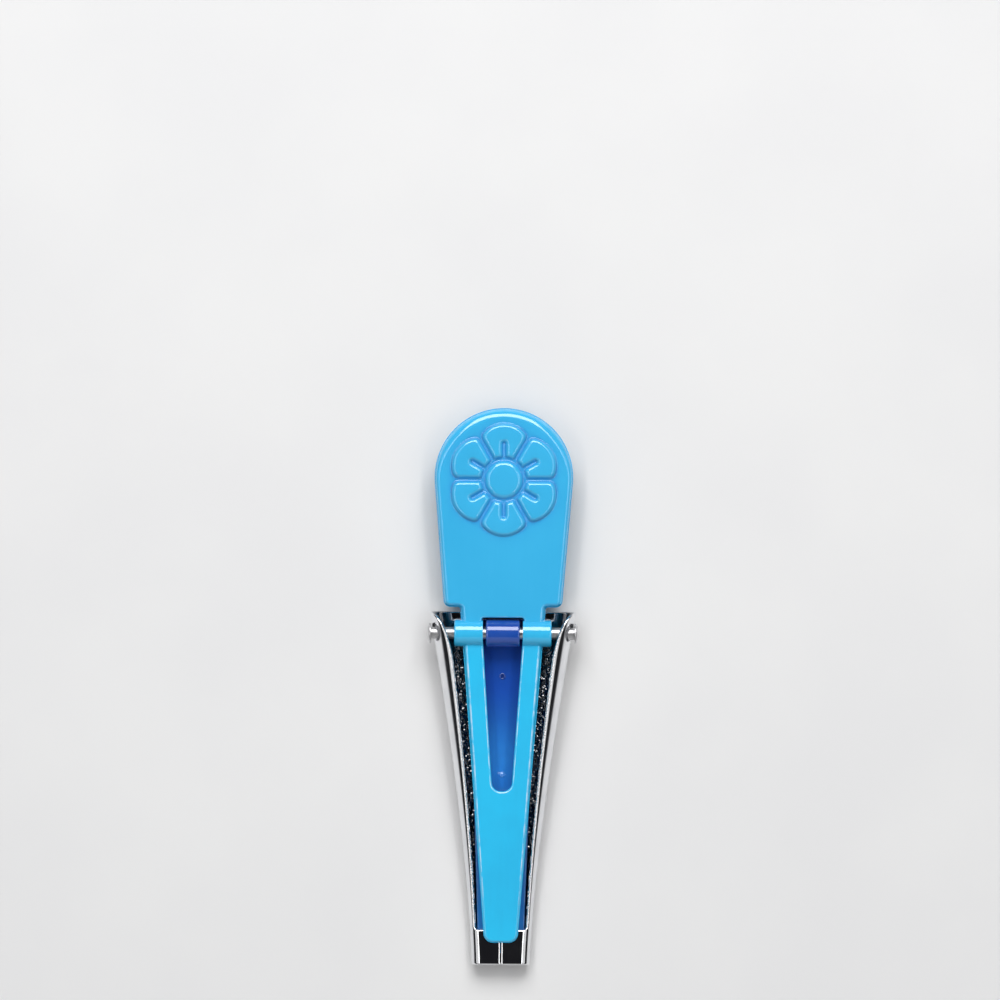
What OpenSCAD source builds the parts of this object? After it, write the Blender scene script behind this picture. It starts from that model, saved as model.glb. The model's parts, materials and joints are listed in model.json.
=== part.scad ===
// Bias tape maker for 6 mm tape: a plated sheet-steel folding shell, an inner guide that the strip
// wraps round, and a moulded guide arm with a slotted tongue and a flower on its handle, hinged on
// one cross pin at the mouth of the shell. Millimetres. The strip enters at +Y and the folded tape
// leaves at -Y. The shell stands on Z = 0.

/* [Folding shell] */
// Length of the shell, from its mouth to the tape exit
shell_length = 43.2; // [38:0.1:50]
// Outside width of the shell at the mouth
mouth_width = 18; // [17.4:0.1:18.8]
// Outside width of the shell at the tape exit
exit_width = 7.15; // [6.9:0.05:8]
// Thickness of the sheet steel
sheet = 0.5; // [0.4:0.05:0.6]
// Outside bend radius of the side walls at the mouth
mouth_bend = 3.05; // [2.9:0.05:3.3]
// Turn of the side walls where the flaps begin, from the floor to their edge, in degrees
flap_turn = 147; // [135:1:155]
// Turn that the side walls would reach at the mouth if it didn't open, in degrees
trough_turn = 163; // [155:1:167]
// Turn of the side walls at the mouth, in degrees
mouth_turn = 132; // [122:1:145]
// Length over which the side walls open towards the mouth
mouth_opening = 6; // [4:0.5:8]
// Corner radius of the side walls at the mouth
mouth_corner = 1.6; // [0.8:0.1:2]
// Corner radius between the side walls and the flaps
flap_corner = 0.5; // [0.2:0.05:0.7]
// Length of the two flaps that close the exit
flap_length = 4.3; // [3:0.1:6]
// Gap of the seam between the two flaps
seam_gap = 0.16; // [0.1:0.02:0.6]
// How strongly the shell widens towards its mouth, 1 for a straight taper
flare = 1.43; // [1.2:0.01:1.5]

/* [Inner guide] */
// Width of the guide at its tip, which sets the width of the tape
guide_tip_width = 5.6; // [5:0.1:5.7]
// Width of the guide at its rear end
guide_rear_width = 8.2; // [7.4:0.1:9]
// Thickness of the guide at its tip
guide_tip_thickness = 0.6; // [0.5:0.05:0.9]
// Thickness of the guide at its rear end
guide_rear_thickness = 0.7; // [0.5:0.05:0.75]
// Room for the cloth under the guide and over it inside the tip
cloth_room = 0.4; // [0.3:0.05:0.6]
// Room for the cloth under the rear end of the guide
entry_room = 0.7; // [0.5:0.05:0.75]
// How far the guide stops short of the tape exit
guide_setback = 1.4; // [0.8:0.1:3]
// How far the rear end of the guide stays inside the mouth
guide_rear_setback = 0.9; // [0.5:0.1:1.2]
// Corner radius of the guide's tip
guide_tip_radius = 0.9; // [0.5:0.1:2]
// Corner radius of the guide's rear end
guide_rear_radius = 1.2; // [0.6:0.1:2]
// Chamfer along the edges of the guide
guide_chamfer = 0.15; // [0.05:0.01:0.2]
// Height of the two moulding marks on the guide
mark_height = 0.1; // [0.05:0.01:0.2]
// Radius of the ring mark
ring_mark_radius = 0.4; // [0.3:0.02:0.6]
// Radius of the hollow in the ring mark
ring_mark_bore = 0.2; // [0.1:0.02:0.25]
// Radius of the dot mark
dot_mark_radius = 0.36; // [0.2:0.02:0.5]
// Distance from the hinge pin to the ring mark
ring_mark_reach = 5.3; // [4.5:0.1:8]
// Distance from the hinge pin to the dot mark
dot_mark_reach = 17.4; // [12:0.1:19]

/* [Guide arm] */
// Radius of the round end of the handle
handle_radius = 8.45; // [7.8:0.05:9.2]
// Length of the handle, from its round end to its shoulder
handle_length = 24.3; // [20:0.1:30]
// Width of the handle at its shoulder
shoulder_width = 14.5; // [13:0.1:15.6]
// Corner radius of the shoulder
shoulder_radius = 0.8; // [0.7:0.05:1.5]
// Thickness of the arm at the handle
arm_thickness = 2.4; // [2:0.05:2.8]
// Thickness of the tongue at its tip
tongue_tip_thickness = 1.4; // [1.2:0.05:1.8]
// Width of the tongue where it leaves the shoulder
tongue_root_width = 10.45; // [9.8:0.05:10.8]
// Width of the tongue at its tip, as if its corners were square
tongue_tip_width = 4.05; // [3.6:0.05:4.6]
// Corner radius of the tongue's tip
tongue_tip_radius = 1.15; // [0.8:0.05:1.6]
// How far the tongue lies over the flaps
tongue_overlap = 1.5; // [0.8:0.1:2.4]
// Chamfer along the upper edges of the arm
edge_chamfer = 0.6; // [0.3:0.05:0.65]
// Chamfer along the lower edges of the arm
under_chamfer = 0.25; // [0.1:0.05:0.4]
// Gap between the shoulder and the mouth of the shell
shoulder_gap = 0.6; // [0.5:0.05:1]
// Gap between the resting tongue and the flaps
tongue_rest_gap = 0.05; // [0.03:0.01:0.2]

/* [Slot] */
// Distance from the shoulder to the start of the slot
slot_setback = 1.3; // [1:0.05:1.5]
// Length of the slot
slot_length = 21.2; // [16:0.1:24]
// Width of the slot at its start
slot_start_width = 5.2; // [4.8:0.05:5.4]
// Width of the slot at its round end
slot_end_width = 2.5; // [2:0.05:3]

/* [Flower] */
// Number of petals
petals = 6; // [5:1:8]
// Distance from the end of the handle to the flower's centre
flower_reach = 8.75; // [8:0.05:10]
// Outer radius of the flower
flower_radius = 6.8; // [6:0.05:7]
// Radius of the flower's centre disc
disc_radius = 2.25; // [1.8:0.05:2.6]
// Width of the ring between the disc and the petals
ring_width = 0.55; // [0.4:0.05:0.9]
// Gap between two petals
petal_gap = 0.52; // [0.4:0.02:0.8]
// Radius of the round outer end of a petal
petal_end_radius = 3.3; // [2.8:0.05:3.6]
// Width of the short groove in each petal
groove_width = 0.5; // [0.3:0.02:0.7]
// Length of the short groove in each petal
groove_length = 1.85; // [1:0.05:2.4]
// Height of the flower above the handle
relief = 0.5; // [0.3:0.02:0.7]

/* [Hinge] */
// Diameter of the hinge pin
pin_diameter = 1.5; // [1.2:0.05:1.7]
// Distance from the mouth to the hinge pin
pin_setback = 2.6; // [2.5:0.05:3.2]
// Height of the hinge pin above the arm's underside
pin_height = 1.5; // [1.4:0.05:1.6]
// Diameter of the pin's heads
head_diameter = 2.4; // [2:0.05:2.8]
// Height of the pin's heads
head_height = 0.5; // [0.3:0.05:0.7]
// Wall of the knuckles round the pin
knuckle_wall = 0.85; // [0.6:0.05:0.95]
// Radial clearance of the pin in the knuckles
pin_clearance = 0.05; // [0.02:0.01:0.09]
// Sideways clearance beside the knuckles
side_clearance = 0.3; // [0.2:0.05:0.4]

/* [Hidden] */

// Stations along Y, with the whole object centred on the origin
total_length = shell_length + shoulder_gap + handle_length;
exit_y = -total_length / 2;
mouth_y = exit_y + shell_length;
flap_y = exit_y + flap_length;
shoulder_y = mouth_y + shoulder_gap;
handle_end_y = shoulder_y + handle_length;
tongue_tip_y = flap_y - tongue_overlap;
pin_y = mouth_y - pin_setback;
slot_start_y = shoulder_y - slot_setback;
slot_end_y = slot_start_y - slot_length;
flower_y = handle_end_y - flower_reach;

// Levels
tip_height = 2 * sheet + 2 * cloth_room + guide_tip_thickness;
arm_under_z = tip_height + tongue_rest_gap;
arm_top_z = arm_under_z + arm_thickness;
pin_z = arm_under_z + pin_height;

// Hinge radii
pin_radius = pin_diameter / 2;
bore_radius = pin_radius + pin_clearance;
knuckle_radius = bore_radius + knuckle_wall;

// Facets
hull_facets = 32;
round_facets = 64;
floor_steps = 3;
wall_steps = 13;
closing_steps = 6;
flap_steps = 3;
mouth_corner_rows = 6;
wall_rows = 18;
flap_corner_rows = 5;
flap_rows = 4;
through = 1; // how far a cutter runs past the faces that it opens

function mix(a, b, share) = a + (b - a) * share;

// Shell: outside half width and bend radius at a station y
function shell_share(y) = (y - exit_y) / shell_length;
function trough_share(y) = max(0, (y - flap_y) / (mouth_y - flap_y));
function shell_half(y) = mix(exit_width, mouth_width, pow(max(0, shell_share(y)), flare)) / 2;
function bend(y) = mix(tip_height / 2, mouth_bend, trough_share(y));

// How much of the side wall the round corner at the mouth takes away, and how much the round inner
// corner at the flaps adds, both measured along the bend
function corner_loss(y) =
    let (run = max(0, y - mouth_y + mouth_corner))
    mouth_corner - sqrt(pow(mouth_corner, 2) - pow(run, 2));
function corner_gain(y) =
    let (run = max(0, flap_corner - max(0, y - flap_y)))
    flap_corner - sqrt(pow(flap_corner, 2) - pow(run, 2));
function arc_degrees(arc_length, radius) = arc_length / radius * 180 / PI;

// How far the side walls have opened, 0 in the trough and 1 at the mouth
function opening_share(y) = pow(max(0, (y - mouth_y + mouth_opening) / mouth_opening), 2);
function wall_turn(y) =
    mix(mix(flap_turn, trough_turn, trough_share(y)), mouth_turn, opening_share(y))
    + arc_degrees(corner_gain(y) - corner_loss(y), bend(y));

// Inside half width at the upper edge of the side walls
function edge_half(y) = shell_half(y) - bend(y) + (bend(y) - sheet) * sin(wall_turn(y));

// One half of the shell's section, from the middle of the floor outwards and up; depth 0 is the
// outer skin and depth sheet the inner one
function floor_half(y, depth) =
    [for (k = [0 : floor_steps]) [(shell_half(y) - bend(y)) * k / floor_steps, depth]];
function arc_half(y, depth, from, to, steps) =
    [for (k = [1 : steps])
        let (a = mix(from, to, k / steps), r = bend(y) - depth)
        [shell_half(y) - bend(y) + r * sin(a), bend(y) - r * cos(a)]];
function flap_half(y, depth) =
    [for (k = [1 : flap_steps])
        [mix(shell_half(y) - bend(y), seam_gap / 2, k / flap_steps), tip_height - depth]];
function open_half(y, depth) =
    concat(floor_half(y, depth), arc_half(y, depth, 0, wall_turn(y), wall_steps));
function closed_half(y, depth) =
    concat(
        open_half(y, depth),
        arc_half(y, depth, wall_turn(y), 180, closing_steps),
        flap_half(y, depth));

// A whole row of points across the shell, from its left edge to its right edge
function mirrored_row(half, y) =
    concat(
        [for (k = [len(half) - 1 : -1 : 1]) [-half[k][0], y, half[k][1]]],
        [for (p = half) [p[0], y, p[1]]]);

// Stations of the rows: round the corner at the mouth, along the wall, round the corner at the
// flaps, and along the flaps
wall_end_y = mouth_y - mouth_corner;
wall_start_y = flap_y + flap_corner;
row_stations = concat(
    [for (k = [0 : mouth_corner_rows - 1])
        wall_end_y + mouth_corner * cos(90 * k / mouth_corner_rows)],
    [for (k = [0 : wall_rows - 1]) mix(wall_end_y, wall_start_y, k / wall_rows)],
    [for (k = [0 : flap_corner_rows - 1])
        wall_start_y - flap_corner * sin(90 * k / flap_corner_rows)],
    [for (k = [0 : flap_rows]) mix(flap_y, exit_y, k / flap_rows)]);

open_count = floor_steps + wall_steps;
closed_count = open_count + closing_steps + flap_steps;
trough_rows = mouth_corner_rows + wall_rows + flap_corner_rows;
last_row = trough_rows + flap_rows;
function row_half(j, depth) = j < trough_rows
    ? open_half(row_stations[j], depth)
    : closed_half(row_stations[j], depth);
function skin(depth) =
    [for (j = [0 : last_row]) each mirrored_row(row_half(j, depth), row_stations[j])];

// Index of the point in row j, counted i steps from the middle, on the outer or the inner skin
function row_reach(j) = j < trough_rows ? open_count : closed_count;
function row_start(j) = j <= trough_rows
    ? j * (2 * open_count + 1)
    : trough_rows * (2 * open_count + 1) + (j - trough_rows) * (2 * closed_count + 1);
skin_size = row_start(last_row + 1);
function outer_id(j, i) = row_start(j) + row_reach(j) + i;
function inner_id(j, i) = skin_size + outer_id(j, i);
function quad(a, b, c, d) = [[a, c, b], [a, d, c]];

shell_skins = [
    for (j = [0 : last_row - 1], i = [-row_reach(j) : row_reach(j) - 1])
        each concat(
            quad(outer_id(j, i), outer_id(j, i + 1), outer_id(j + 1, i + 1), outer_id(j + 1, i)),
            quad(inner_id(j, i), inner_id(j + 1, i), inner_id(j + 1, i + 1), inner_id(j, i + 1)))];
shell_edges = [
    for (j = [0 : last_row - 1])
        let (e = row_reach(j))
        each concat(
            quad(outer_id(j, e), inner_id(j, e), inner_id(j + 1, e), outer_id(j + 1, e)),
            quad(outer_id(j, -e), outer_id(j + 1, -e), inner_id(j + 1, -e), inner_id(j, -e)))];
function facing_mouth(j, from, to) = [
    for (i = [from : to - 1])
        each quad(outer_id(j, i), inner_id(j, i), inner_id(j, i + 1), outer_id(j, i + 1))];
function facing_exit(j, from, to) = [
    for (i = [from : to - 1])
        each quad(outer_id(j, i), outer_id(j, i + 1), inner_id(j, i + 1), inner_id(j, i))];
shell_ends = concat(
    facing_mouth(0, -open_count, open_count),
    facing_mouth(trough_rows, open_count, closed_count),
    facing_mouth(trough_rows, -closed_count, -open_count),
    facing_exit(last_row, -closed_count, closed_count));

module folding_shell() {
    color("silver")
    difference() {
        polyhedron(
            points = concat(skin(0), skin(sheet)),
            faces = concat(shell_skins, shell_edges, shell_ends),
            convexity = 6);
        translate([0, pin_y, pin_z])
        rotate([0, 90, 0])
        cylinder(h = mouth_width + 2 * through, r = pin_radius, center = true, $fn = round_facets);
    }
}

// A round plate with chamfered rims, the corner piece of the moulded shapes
module chamfered_disc(radius, bottom, top, upper, lower) {
    translate([0, 0, bottom])
    cylinder(h = top - bottom, r = radius - max(upper, lower));
    translate([0, 0, bottom])
    cylinder(h = top - bottom - upper, r = radius - lower);
    translate([0, 0, bottom + lower])
    cylinder(h = top - bottom - upper - lower, r = radius);
}

// Two mirrored copies of a corner piece
module left_and_right() {
    children();
    mirror([1, 0, 0])
    children();
}

// Tongue half width at a station y
function tongue_half(y) =
    mix(tongue_root_width, tongue_tip_width, (shoulder_y - y) / (shoulder_y - tongue_tip_y)) / 2;

module handle() {
    hull() {
        translate([0, handle_end_y - handle_radius, 0])
        chamfered_disc(handle_radius, arm_under_z, arm_top_z, edge_chamfer, under_chamfer,
            $fn = round_facets);
        left_and_right()
        translate([shoulder_width / 2 - shoulder_radius, shoulder_y + shoulder_radius, 0])
        chamfered_disc(shoulder_radius, arm_under_z, arm_top_z, edge_chamfer, under_chamfer,
            $fn = hull_facets);
    }
}

module tongue() {
    root_y = shoulder_y + shoulder_radius;
    tip_y = tongue_tip_y + tongue_tip_radius;
    hull() {
        left_and_right()
        translate([tongue_half(root_y) - shoulder_radius, root_y, 0])
        chamfered_disc(shoulder_radius, arm_under_z, arm_top_z, edge_chamfer, under_chamfer,
            $fn = hull_facets);
        left_and_right()
        translate([tongue_half(tip_y) - tongue_tip_radius, tip_y, 0])
        chamfered_disc(tongue_tip_radius, arm_under_z, arm_under_z + tongue_tip_thickness,
            edge_chamfer, under_chamfer, $fn = hull_facets);
    }
}

// The wedge-shaped slot in plan, with a round end towards the tip
module slot_outline() {
    end_y = slot_end_y + slot_end_width / 2;
    polygon([
        [-slot_start_width / 2, slot_start_y],
        [-slot_end_width / 2, end_y],
        [slot_end_width / 2, end_y],
        [slot_start_width / 2, slot_start_y]]);
    translate([0, end_y])
    circle(d = slot_end_width, $fn = hull_facets);
}

// One petal in plan, pointing along +Y, with its short groove
module petal_outline() {
    half_angle = 180 / petals;
    // where the petal's sides would meet, so that each stays half a gap away from its neighbour
    apex_y = petal_gap / 2 / sin(half_angle);
    spread = (flower_radius - apex_y) * tan(half_angle);
    ring_radius = disc_radius + ring_width;
    groove_end_y = ring_radius + groove_length - groove_width / 2;
    difference() {
        intersection() {
            polygon([[0, apex_y], [-spread, flower_radius], [spread, flower_radius]]);
            translate([0, flower_radius - petal_end_radius])
            circle(r = petal_end_radius, $fn = round_facets);
        }
        circle(r = ring_radius, $fn = round_facets);
        translate([-groove_width / 2, 0])
        square([groove_width, groove_end_y]);
        translate([0, groove_end_y])
        circle(d = groove_width, $fn = hull_facets);
    }
}

module flower() {
    sunk = relief / 2; // how deep the raised pieces run into the handle
    translate([0, flower_y, arm_top_z - sunk])
    linear_extrude(height = relief + sunk) {
        circle(r = disc_radius, $fn = round_facets);
        for (k = [0 : petals - 1])
            rotate(k * 360 / petals)
            petal_outline();
    }
}

// Half length of the arm's knuckle, which fills the shell between the edges of its walls
knuckle_half = edge_half(pin_y - knuckle_radius) - side_clearance;

module cross_cylinder(half_length, radius) {
    translate([0, pin_y, pin_z])
    rotate([0, 90, 0])
    cylinder(h = 2 * half_length, r = radius, center = true, $fn = round_facets);
}

module guide_arm() {
    color("deepskyblue")
    difference() {
        union() {
            handle();
            tongue();
            flower();
            cross_cylinder(knuckle_half, knuckle_radius);
        }
        translate([0, 0, arm_under_z - through])
        linear_extrude(height = arm_thickness + knuckle_radius + 2 * through)
        slot_outline();
        cross_cylinder(knuckle_half + through, bore_radius);
    }
}

// Inner guide levels: its underside rises from the tip to the rear end
guide_tip_y = exit_y + guide_setback;
guide_rear_y = mouth_y - guide_rear_setback;
guide_tip_z = sheet + cloth_room;
guide_rear_z = sheet + entry_room;
function guide_top(y) =
    let (share = (y - guide_tip_y) / (guide_rear_y - guide_tip_y))
    mix(guide_tip_z + guide_tip_thickness, guide_rear_z + guide_rear_thickness, share);

// Slot half width at a station y, and the lug that stands in it
function slot_half(y) =
    mix(slot_start_width, slot_end_width, (slot_start_y - y) / (slot_length - slot_end_width / 2)) / 2;
lug_half = slot_half(pin_y - knuckle_radius) - side_clearance;

module guide_plate() {
    hull() {
        left_and_right()
        translate([guide_rear_width / 2 - guide_rear_radius, guide_rear_y - guide_rear_radius, 0])
        chamfered_disc(guide_rear_radius, guide_rear_z, guide_rear_z + guide_rear_thickness,
            guide_chamfer, guide_chamfer, $fn = hull_facets);
        left_and_right()
        translate([guide_tip_width / 2 - guide_tip_radius, guide_tip_y + guide_tip_radius, 0])
        chamfered_disc(guide_tip_radius, guide_tip_z, guide_tip_z + guide_tip_thickness,
            guide_chamfer, guide_chamfer, $fn = hull_facets);
    }
}

// The lug that hangs the guide on the hinge pin; its web stops short of the swinging slot end
module guide_lug() {
    web_drop = pin_z - guide_rear_z - guide_rear_thickness / 2;
    translate([-lug_half, pin_y, pin_z])
    rotate([90, 0, 90])
    linear_extrude(height = 2 * lug_half) {
        circle(r = knuckle_radius, $fn = round_facets);
        translate([-knuckle_radius, -web_drop])
        square([knuckle_radius + bore_radius, web_drop]);
    }
}

// Two small marks that the mould leaves on the guide: a ring and a dot
module moulding_marks() {
    ring_y = pin_y - ring_mark_reach;
    dot_y = pin_y - dot_mark_reach;
    translate([0, ring_y, guide_top(ring_y) - mark_height])
    difference() {
        cylinder(h = 2 * mark_height, r = ring_mark_radius, $fn = hull_facets);
        translate([0, 0, mark_height])
        cylinder(h = 2 * mark_height, r = ring_mark_bore, $fn = hull_facets);
    }
    translate([0, dot_y, guide_top(dot_y) - mark_height])
    cylinder(h = 2 * mark_height, r = dot_mark_radius, $fn = hull_facets);
}

module inner_guide() {
    color("royalblue")
    difference() {
        union() {
            guide_plate();
            guide_lug();
            moulding_marks();
        }
        cross_cylinder(lug_half + through, bore_radius);
    }
}

// The pin's shank ends at the outside of the walls, and a domed head closes each end
module hinge_pin() {
    seat = shell_half(pin_y + head_diameter / 2);
    color("gainsboro") {
        cross_cylinder(seat, pin_radius);
        left_and_right()
        translate([seat, pin_y, pin_z])
        rotate([0, 90, 0])
        pin_head();
    }
}

module pin_head() {
    radius = head_diameter / 2;
    rim = head_height / 3;
    dome = (pow(radius, 2) + pow(head_height - rim, 2)) / (2 * (head_height - rim));
    intersection() {
        cylinder(h = head_height, r = radius, $fn = round_facets);
        translate([0, 0, head_height - dome])
        sphere(r = dome, $fn = round_facets);
    }
}

folding_shell();
inner_guide();
guide_arm();
hinge_pin();
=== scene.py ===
"""Looks of a bias tape maker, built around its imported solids.

A plated folding shell holds a moulded inner guide, and a moulded guide arm with a flower on its handle
swings on a pin that crosses the shell's mouth. Sizes are written in millimetres, as a maker would give
them, and become metres when a mesh is made.
"""

import json
import logging
import math
from collections.abc import Callable, Mapping, Sequence
from dataclasses import dataclass, field
from enum import Enum
from typing import Any

import bmesh
import bpy
import numpy as np
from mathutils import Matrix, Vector
from mathutils.geometry import delaunay_2d_cdt


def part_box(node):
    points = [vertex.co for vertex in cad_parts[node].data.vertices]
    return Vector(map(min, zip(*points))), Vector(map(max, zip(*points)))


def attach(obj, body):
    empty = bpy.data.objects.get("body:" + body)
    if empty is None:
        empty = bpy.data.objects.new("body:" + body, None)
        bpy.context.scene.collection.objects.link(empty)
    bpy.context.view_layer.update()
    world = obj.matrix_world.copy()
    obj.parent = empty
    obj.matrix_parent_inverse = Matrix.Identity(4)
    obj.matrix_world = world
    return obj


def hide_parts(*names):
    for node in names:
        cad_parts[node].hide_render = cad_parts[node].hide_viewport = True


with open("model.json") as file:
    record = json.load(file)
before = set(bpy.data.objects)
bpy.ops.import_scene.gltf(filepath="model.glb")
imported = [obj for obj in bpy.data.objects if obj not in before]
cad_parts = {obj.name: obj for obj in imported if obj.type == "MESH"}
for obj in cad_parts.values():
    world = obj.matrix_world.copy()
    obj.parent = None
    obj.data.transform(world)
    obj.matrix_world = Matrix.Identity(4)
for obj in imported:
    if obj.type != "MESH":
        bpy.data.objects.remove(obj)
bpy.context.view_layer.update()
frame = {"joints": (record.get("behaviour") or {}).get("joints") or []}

log = logging.getLogger("tape_maker")

MM = 0.001
TINY = 1e-12
CLOSE = 1e-9
WELD = 1e-8
SHORT_STEP = 1e-6
SLIVER = 1e-5
FEWEST_STEPS = 3
BORDER_ROOM = 0.45
FACE_REACH = 0.05
WORN_CURVE = 5.0
HOLLOW_TURN = math.radians(12.0)
ROD_OVERRUN = 1.0
# Edge layer: wear on the shell and guide, and a painted highlight line along the arm's rails.
WEAR_AND_HIGHLIGHT_LAYER = "edge_wear"
INNER_LAYER = "inner_face"
# Layer of painted shade: the flower's gaps and surroundings, and the ring mark's hollow.
PAINTED_SHADE_LAYER = "recess"
Pair = tuple[float, float]
Triple = tuple[float, float, float]
Colour = tuple[float, float, float, float]
Height = Callable[[np.ndarray, np.ndarray], np.ndarray]
Contours = list[tuple[float, np.ndarray]]


class Body(Enum):
    """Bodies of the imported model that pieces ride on."""

    FOLDER = "folder"
    ARM = "arm"


class Cut(Enum):
    """Ways of combining two closed solids."""

    JOIN = "UNION"
    REMOVE = "DIFFERENCE"


class Axis(Enum):
    """Axes that a section is turned about, as which of place and two sides give x, y and z."""

    ACROSS = (0, 1, 2)
    UPRIGHT = (1, 2, 0)


# Shader graph


@dataclass(frozen=True)
class Grain:
    """Soft noise on a surface, in patches of a size in millimetres.

    A mask made from it is 0 below low and 1 above high. Detail says how many finer layers are added, and
    rough how strong they are. A small stretch draws the pattern out along that axis, and turn turns it in
    plan, in degrees.
    """

    size: float
    low: float = 0.0
    high: float = 1.0
    detail: float = 2.0
    rough: float = 0.5
    stretch: Triple = (1.0, 1.0, 1.0)
    turn: float = 0.0


class Wire:
    """An output socket that takes part in Python expressions."""

    def __init__(self, graph: "Graph", socket: bpy.types.NodeSocket) -> None:
        """Hold a socket together with the graph that it belongs to."""
        self.graph = graph
        self.socket = socket

    def _math(self, operation: str, first: Any, second: Any) -> "Wire":
        """Add a Math node on two values."""
        return self.graph.node("ShaderNodeMath", {"operation": operation}, {0: first, 1: second})

    def __add__(self, other: Any) -> "Wire":
        """Give self + other."""
        return self._math("ADD", self, other)

    def __radd__(self, other: Any) -> "Wire":
        """Give other + self."""
        return self._math("ADD", other, self)

    def __sub__(self, other: Any) -> "Wire":
        """Give self - other."""
        return self._math("SUBTRACT", self, other)

    def __rsub__(self, other: Any) -> "Wire":
        """Give other - self."""
        return self._math("SUBTRACT", other, self)

    def __mul__(self, other: Any) -> "Wire":
        """Give self * other."""
        return self._math("MULTIPLY", self, other)

    def __rmul__(self, other: Any) -> "Wire":
        """Give other * self."""
        return self._math("MULTIPLY", other, self)

    def __pow__(self, other: Any) -> "Wire":
        """Give self ** other."""
        return self._math("POWER", self, other)

    def __rpow__(self, other: Any) -> "Wire":
        """Give other ** self."""
        return self._math("POWER", other, self)


class Graph:
    """A node tree of a material or of the world."""

    def __init__(self, owner: bpy.types.Material | bpy.types.World) -> None:
        """Empty the owner's node tree and keep it.

        Args:
            owner: the material or world that the nodes belong to.
        """
        owner.use_nodes = True
        self.tree = owner.node_tree
        self.tree.nodes.clear()

    def node(
        self,
        kind: str,
        settings: Mapping[str, Any] | None = None,
        sockets: Mapping[str | int, Any] | None = None,
        output: str | int = 0,
    ) -> Wire | None:
        """Add a node.

        Args:
            kind: the node's type.
            settings: properties that are set first; "stops" holds a ramp's places and colours.
            sockets: values or wires for the inputs, by name or number.
            output: the output that the wire starts from.

        Returns:
            A wire from the chosen output, or None where the node has no outputs.
        """
        made = self.tree.nodes.new(kind)
        for key, value in (settings or {}).items():
            if key == "stops":
                self._set_stops(made.color_ramp.elements, value)
            else:
                setattr(made, key, value)
        for key, value in (sockets or {}).items():
            if isinstance(value, Wire):
                self.tree.links.new(value.socket, made.inputs[key])
            else:
                made.inputs[key].default_value = value
        return Wire(self, made.outputs[output]) if made.outputs else None

    @staticmethod
    def _set_stops(elements: Any, stops: Sequence[tuple[float, Colour]]) -> None:
        """Give a ramp its stops.

        Args:
            elements: the ramp's elements.
            stops: the place and colour of each stop.
        """
        while len(elements) < len(stops):
            elements.new(1.0)
        for element, (place, colour) in zip(elements, stops):
            element.position = place
            element.color = colour

    def place(self, stretch: Triple = (1.0, 1.0, 1.0), turn: float = 0.0) -> Wire:
        """Give the piece's own coordinates.

        Args:
            stretch: factor along each axis; a small one draws a pattern out along that axis.
            turn: angle in degrees that the pattern is turned by in plan.

        Returns:
            The coordinates in metres, turned and stretched.
        """
        spot = self.node("ShaderNodeTexCoord", output="Object")
        if turn:
            sockets = {"Vector": spot, "Angle": math.radians(turn)}
            spot = self.node("ShaderNodeVectorRotate", {"rotation_type": "Z_AXIS"}, sockets)
        return self.node("ShaderNodeVectorMath", {"operation": "MULTIPLY"}, {0: spot, 1: stretch})

    def noise(self, grain: Grain) -> Wire:
        """Give a grain's noise, from 0 to 1.

        Args:
            grain: the pattern.

        Returns:
            The noise value.
        """
        sockets = {
            "Vector": self.place(grain.stretch, grain.turn),
            "Scale": 1.0 / (grain.size * MM),
            "Detail": grain.detail,
            "Roughness": grain.rough,
        }
        return self.node("ShaderNodeTexNoise", {"noise_dimensions": "3D"}, sockets)

    def span(self, value: Wire, low: float, high: float) -> Wire:
        """Give 0 below low, 1 above high and a smooth step between."""
        sockets = {"Value": value, "From Min": low, "From Max": high}
        return self.node("ShaderNodeMapRange", {"interpolation_type": "SMOOTHSTEP"}, sockets)

    def mask(self, grain: Grain) -> Wire:
        """Give a grain's mask."""
        return self.span(self.noise(grain), grain.low, grain.high)

    def mix(self, share: Any, first: Any, second: Any) -> Wire:
        """Mix two colours: first where share is 0, second where it is 1."""
        return self.node("ShaderNodeMix", {"data_type": "RGBA"}, {0: share, 6: first, 7: second}, 2)

    def layer(self, name: str) -> Wire:
        """Give a value that was noted on the mesh's points."""
        return self.node("ShaderNodeAttribute", {"attribute_name": name}, None, "Fac")

    def axis(self, name: str) -> Wire:
        """Give one of the piece's own coordinates, in metres."""
        return self.node("ShaderNodeSeparateXYZ", None, {0: self.place()}, name)

    def bump(self, height: Wire, depth: float, under: Wire | None = None) -> Wire:
        """Give a normal that follows a height.

        Args:
            height: the height from 0 to 1.
            depth: what a height of 1 stands for, in millimetres.
            under: a normal that this one adds to.

        Returns:
            The normal.
        """
        sockets: dict[str | int, Any] = {"Strength": 1.0, "Distance": depth * MM, "Height": height}
        if under is not None:
            sockets["Normal"] = under
        return self.node("ShaderNodeBump", None, sockets)

    def surface(self, sockets: Mapping[str | int, Any]) -> None:
        """Join a principled shader with these sockets to the output."""
        shader = self.node("ShaderNodeBsdfPrincipled", None, sockets)
        self.node("ShaderNodeOutputMaterial", None, {"Surface": shader})


# Finishes


@dataclass(frozen=True)
class Finish:
    """A finish, which makes its own material."""

    name: str

    def material(self) -> bpy.types.Material:
        """Make the material.

        Returns:
            The material with the finish's nodes.
        """
        made = bpy.data.materials.new(self.name)
        self.paint(Graph(made))
        return made

    def paint(self, graph: Graph) -> None:
        """Draw the nodes, which each finish does in its own way."""
        raise NotImplementedError


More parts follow.
